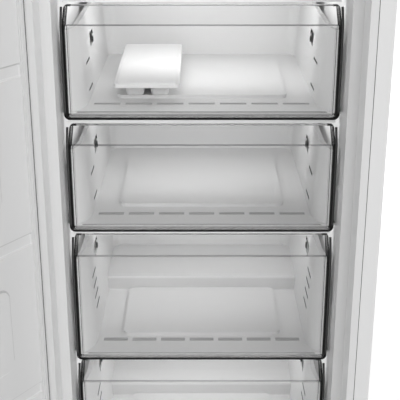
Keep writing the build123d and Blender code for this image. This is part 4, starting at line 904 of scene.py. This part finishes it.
# watts, place, point that it faces and size; all but the seenPanels are hidden from view and from reflections
panelLamps = {
    "keyPanel": (30.0, (0.2, -3.6, 2.4), (0, -0.3, 1.0), (1.6, 1.6)),
    "rightPanel": (44.0, (2.6, -2.6, 2.6), (-0.1, -0.3, 1.1), (1.6, 1.8)),
    "backPanel": (60.0, (1.2, 3.6, 2.6), (0, 0.3, 0.9), (2.4, 2.0)),
    "leftPanel": (40.0, (-3.6, 1.2, 2.4), (-0.3, 0.1, 0.9), (2.0, 2.0)),
    "crossPanel": (0.45, (-0.235, -0.36, 1.1), (0.25, -0.29, 1.1), (0.04, 1.5)),
    "flangePanel": (0.022, (-0.275, -0.55, 1.1), (-0.275, -0.33, 1.1), (0.03, 1.5)),
}
seenPanels = ("keyPanel", "rightPanel")
flangeSpread = 20.0


def makeLamp(name, watts, at, aim, size, seen=False):
    data = bpy.data.lights.new(name, "AREA")
    data.energy = watts
    data.shape = "RECTANGLE"
    data.size, data.size_y = size
    lamp = bpy.data.objects.new(name, data)
    bpy.context.scene.collection.objects.link(lamp)
    lamp.location = at
    x, y, z = np.array(aim, float) - np.array(at, float)
    lamp.rotation_euler = (math.pi / 2 + math.atan2(z, math.hypot(x, y)), 0.0, math.atan2(y, x) - math.pi / 2)
    for ray in ("camera", "glossy", "transmission"):
        setattr(lamp, "visible_" + ray, seen)
    return lamp


def makePanelLamps():
    lamps = {name: makeLamp(name, *row, seen=name in seenPanels) for name, row in panelLamps.items()}
    lamps["flangePanel"].data.spread = math.radians(flangeSpread)


shelfLamps = {
    "watts": (0.16, 0.18, 0.24, 0.03, 0.055, 0.18, 0.20), "size": (0.36, 0.40), "middleY": -0.03,
    "drop": 0.002,
    "rearWatts": (0.36, 0.36, 0.40, 0.34, 0.37, 0.36, 0.36), "rearSize": (0.34, 0.03), "rearY": -0.08,
    "rearDrop": 0.019, "rearAimY": 0.2, "rearAimDrop": 0.12,
    "gapWatts": 0.065, "gapSize": (0.285, 0.085), "gapX": 0.2335, "gapY": -0.0425, "gapDrop": 0.046,
}


def makeShelfLamps():
    # soft panels for the rooms of the drawers, unseen themselves: one under each shelf, one that lights the
    # rear wall, and one on each side in the gap between the tub and the liner
    rearY, gapX, gapY = shelfLamps["rearY"], shelfLamps["gapX"], shelfLamps["gapY"]
    for number in drawerNumbers:
        if number == 1:
            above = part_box("ceiling_housing")[0].z
        else:
            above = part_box(f"drawer_{number - 1}_front")[0].z
        watts, rearWatts = shelfLamps["watts"][number - 1], shelfLamps["rearWatts"][number - 1]
        at = (0, shelfLamps["middleY"], above - shelfLamps["drop"])
        lamp = makeLamp(f"shelfLamp{number}", watts, at, (0, at[1], 0), shelfLamps["size"])
        lamp.rotation_euler = (0, 0, 0)
        height = above - shelfLamps["rearDrop"]
        aim = (0, shelfLamps["rearAimY"], height - shelfLamps["rearAimDrop"])
        makeLamp(f"rearLamp{number}", rearWatts, (0, rearY, height), aim, shelfLamps["rearSize"])
        height = above - shelfLamps["gapDrop"]
        for side, letter in ((-1, "L"), (1, "R")):
            makeLamp(f"gapLamp{number}{letter}", shelfLamps["gapWatts"], (side * gapX, gapY, height),
                     (2 * side * gapX, gapY, height), shelfLamps["gapSize"])


makeCamera()
makeWorld()
makeFloor()
makePanelLamps()
makeShelfLamps()
bpy.context.scene.view_settings.view_transform = "Standard"
print("camera, lamps and floor set")
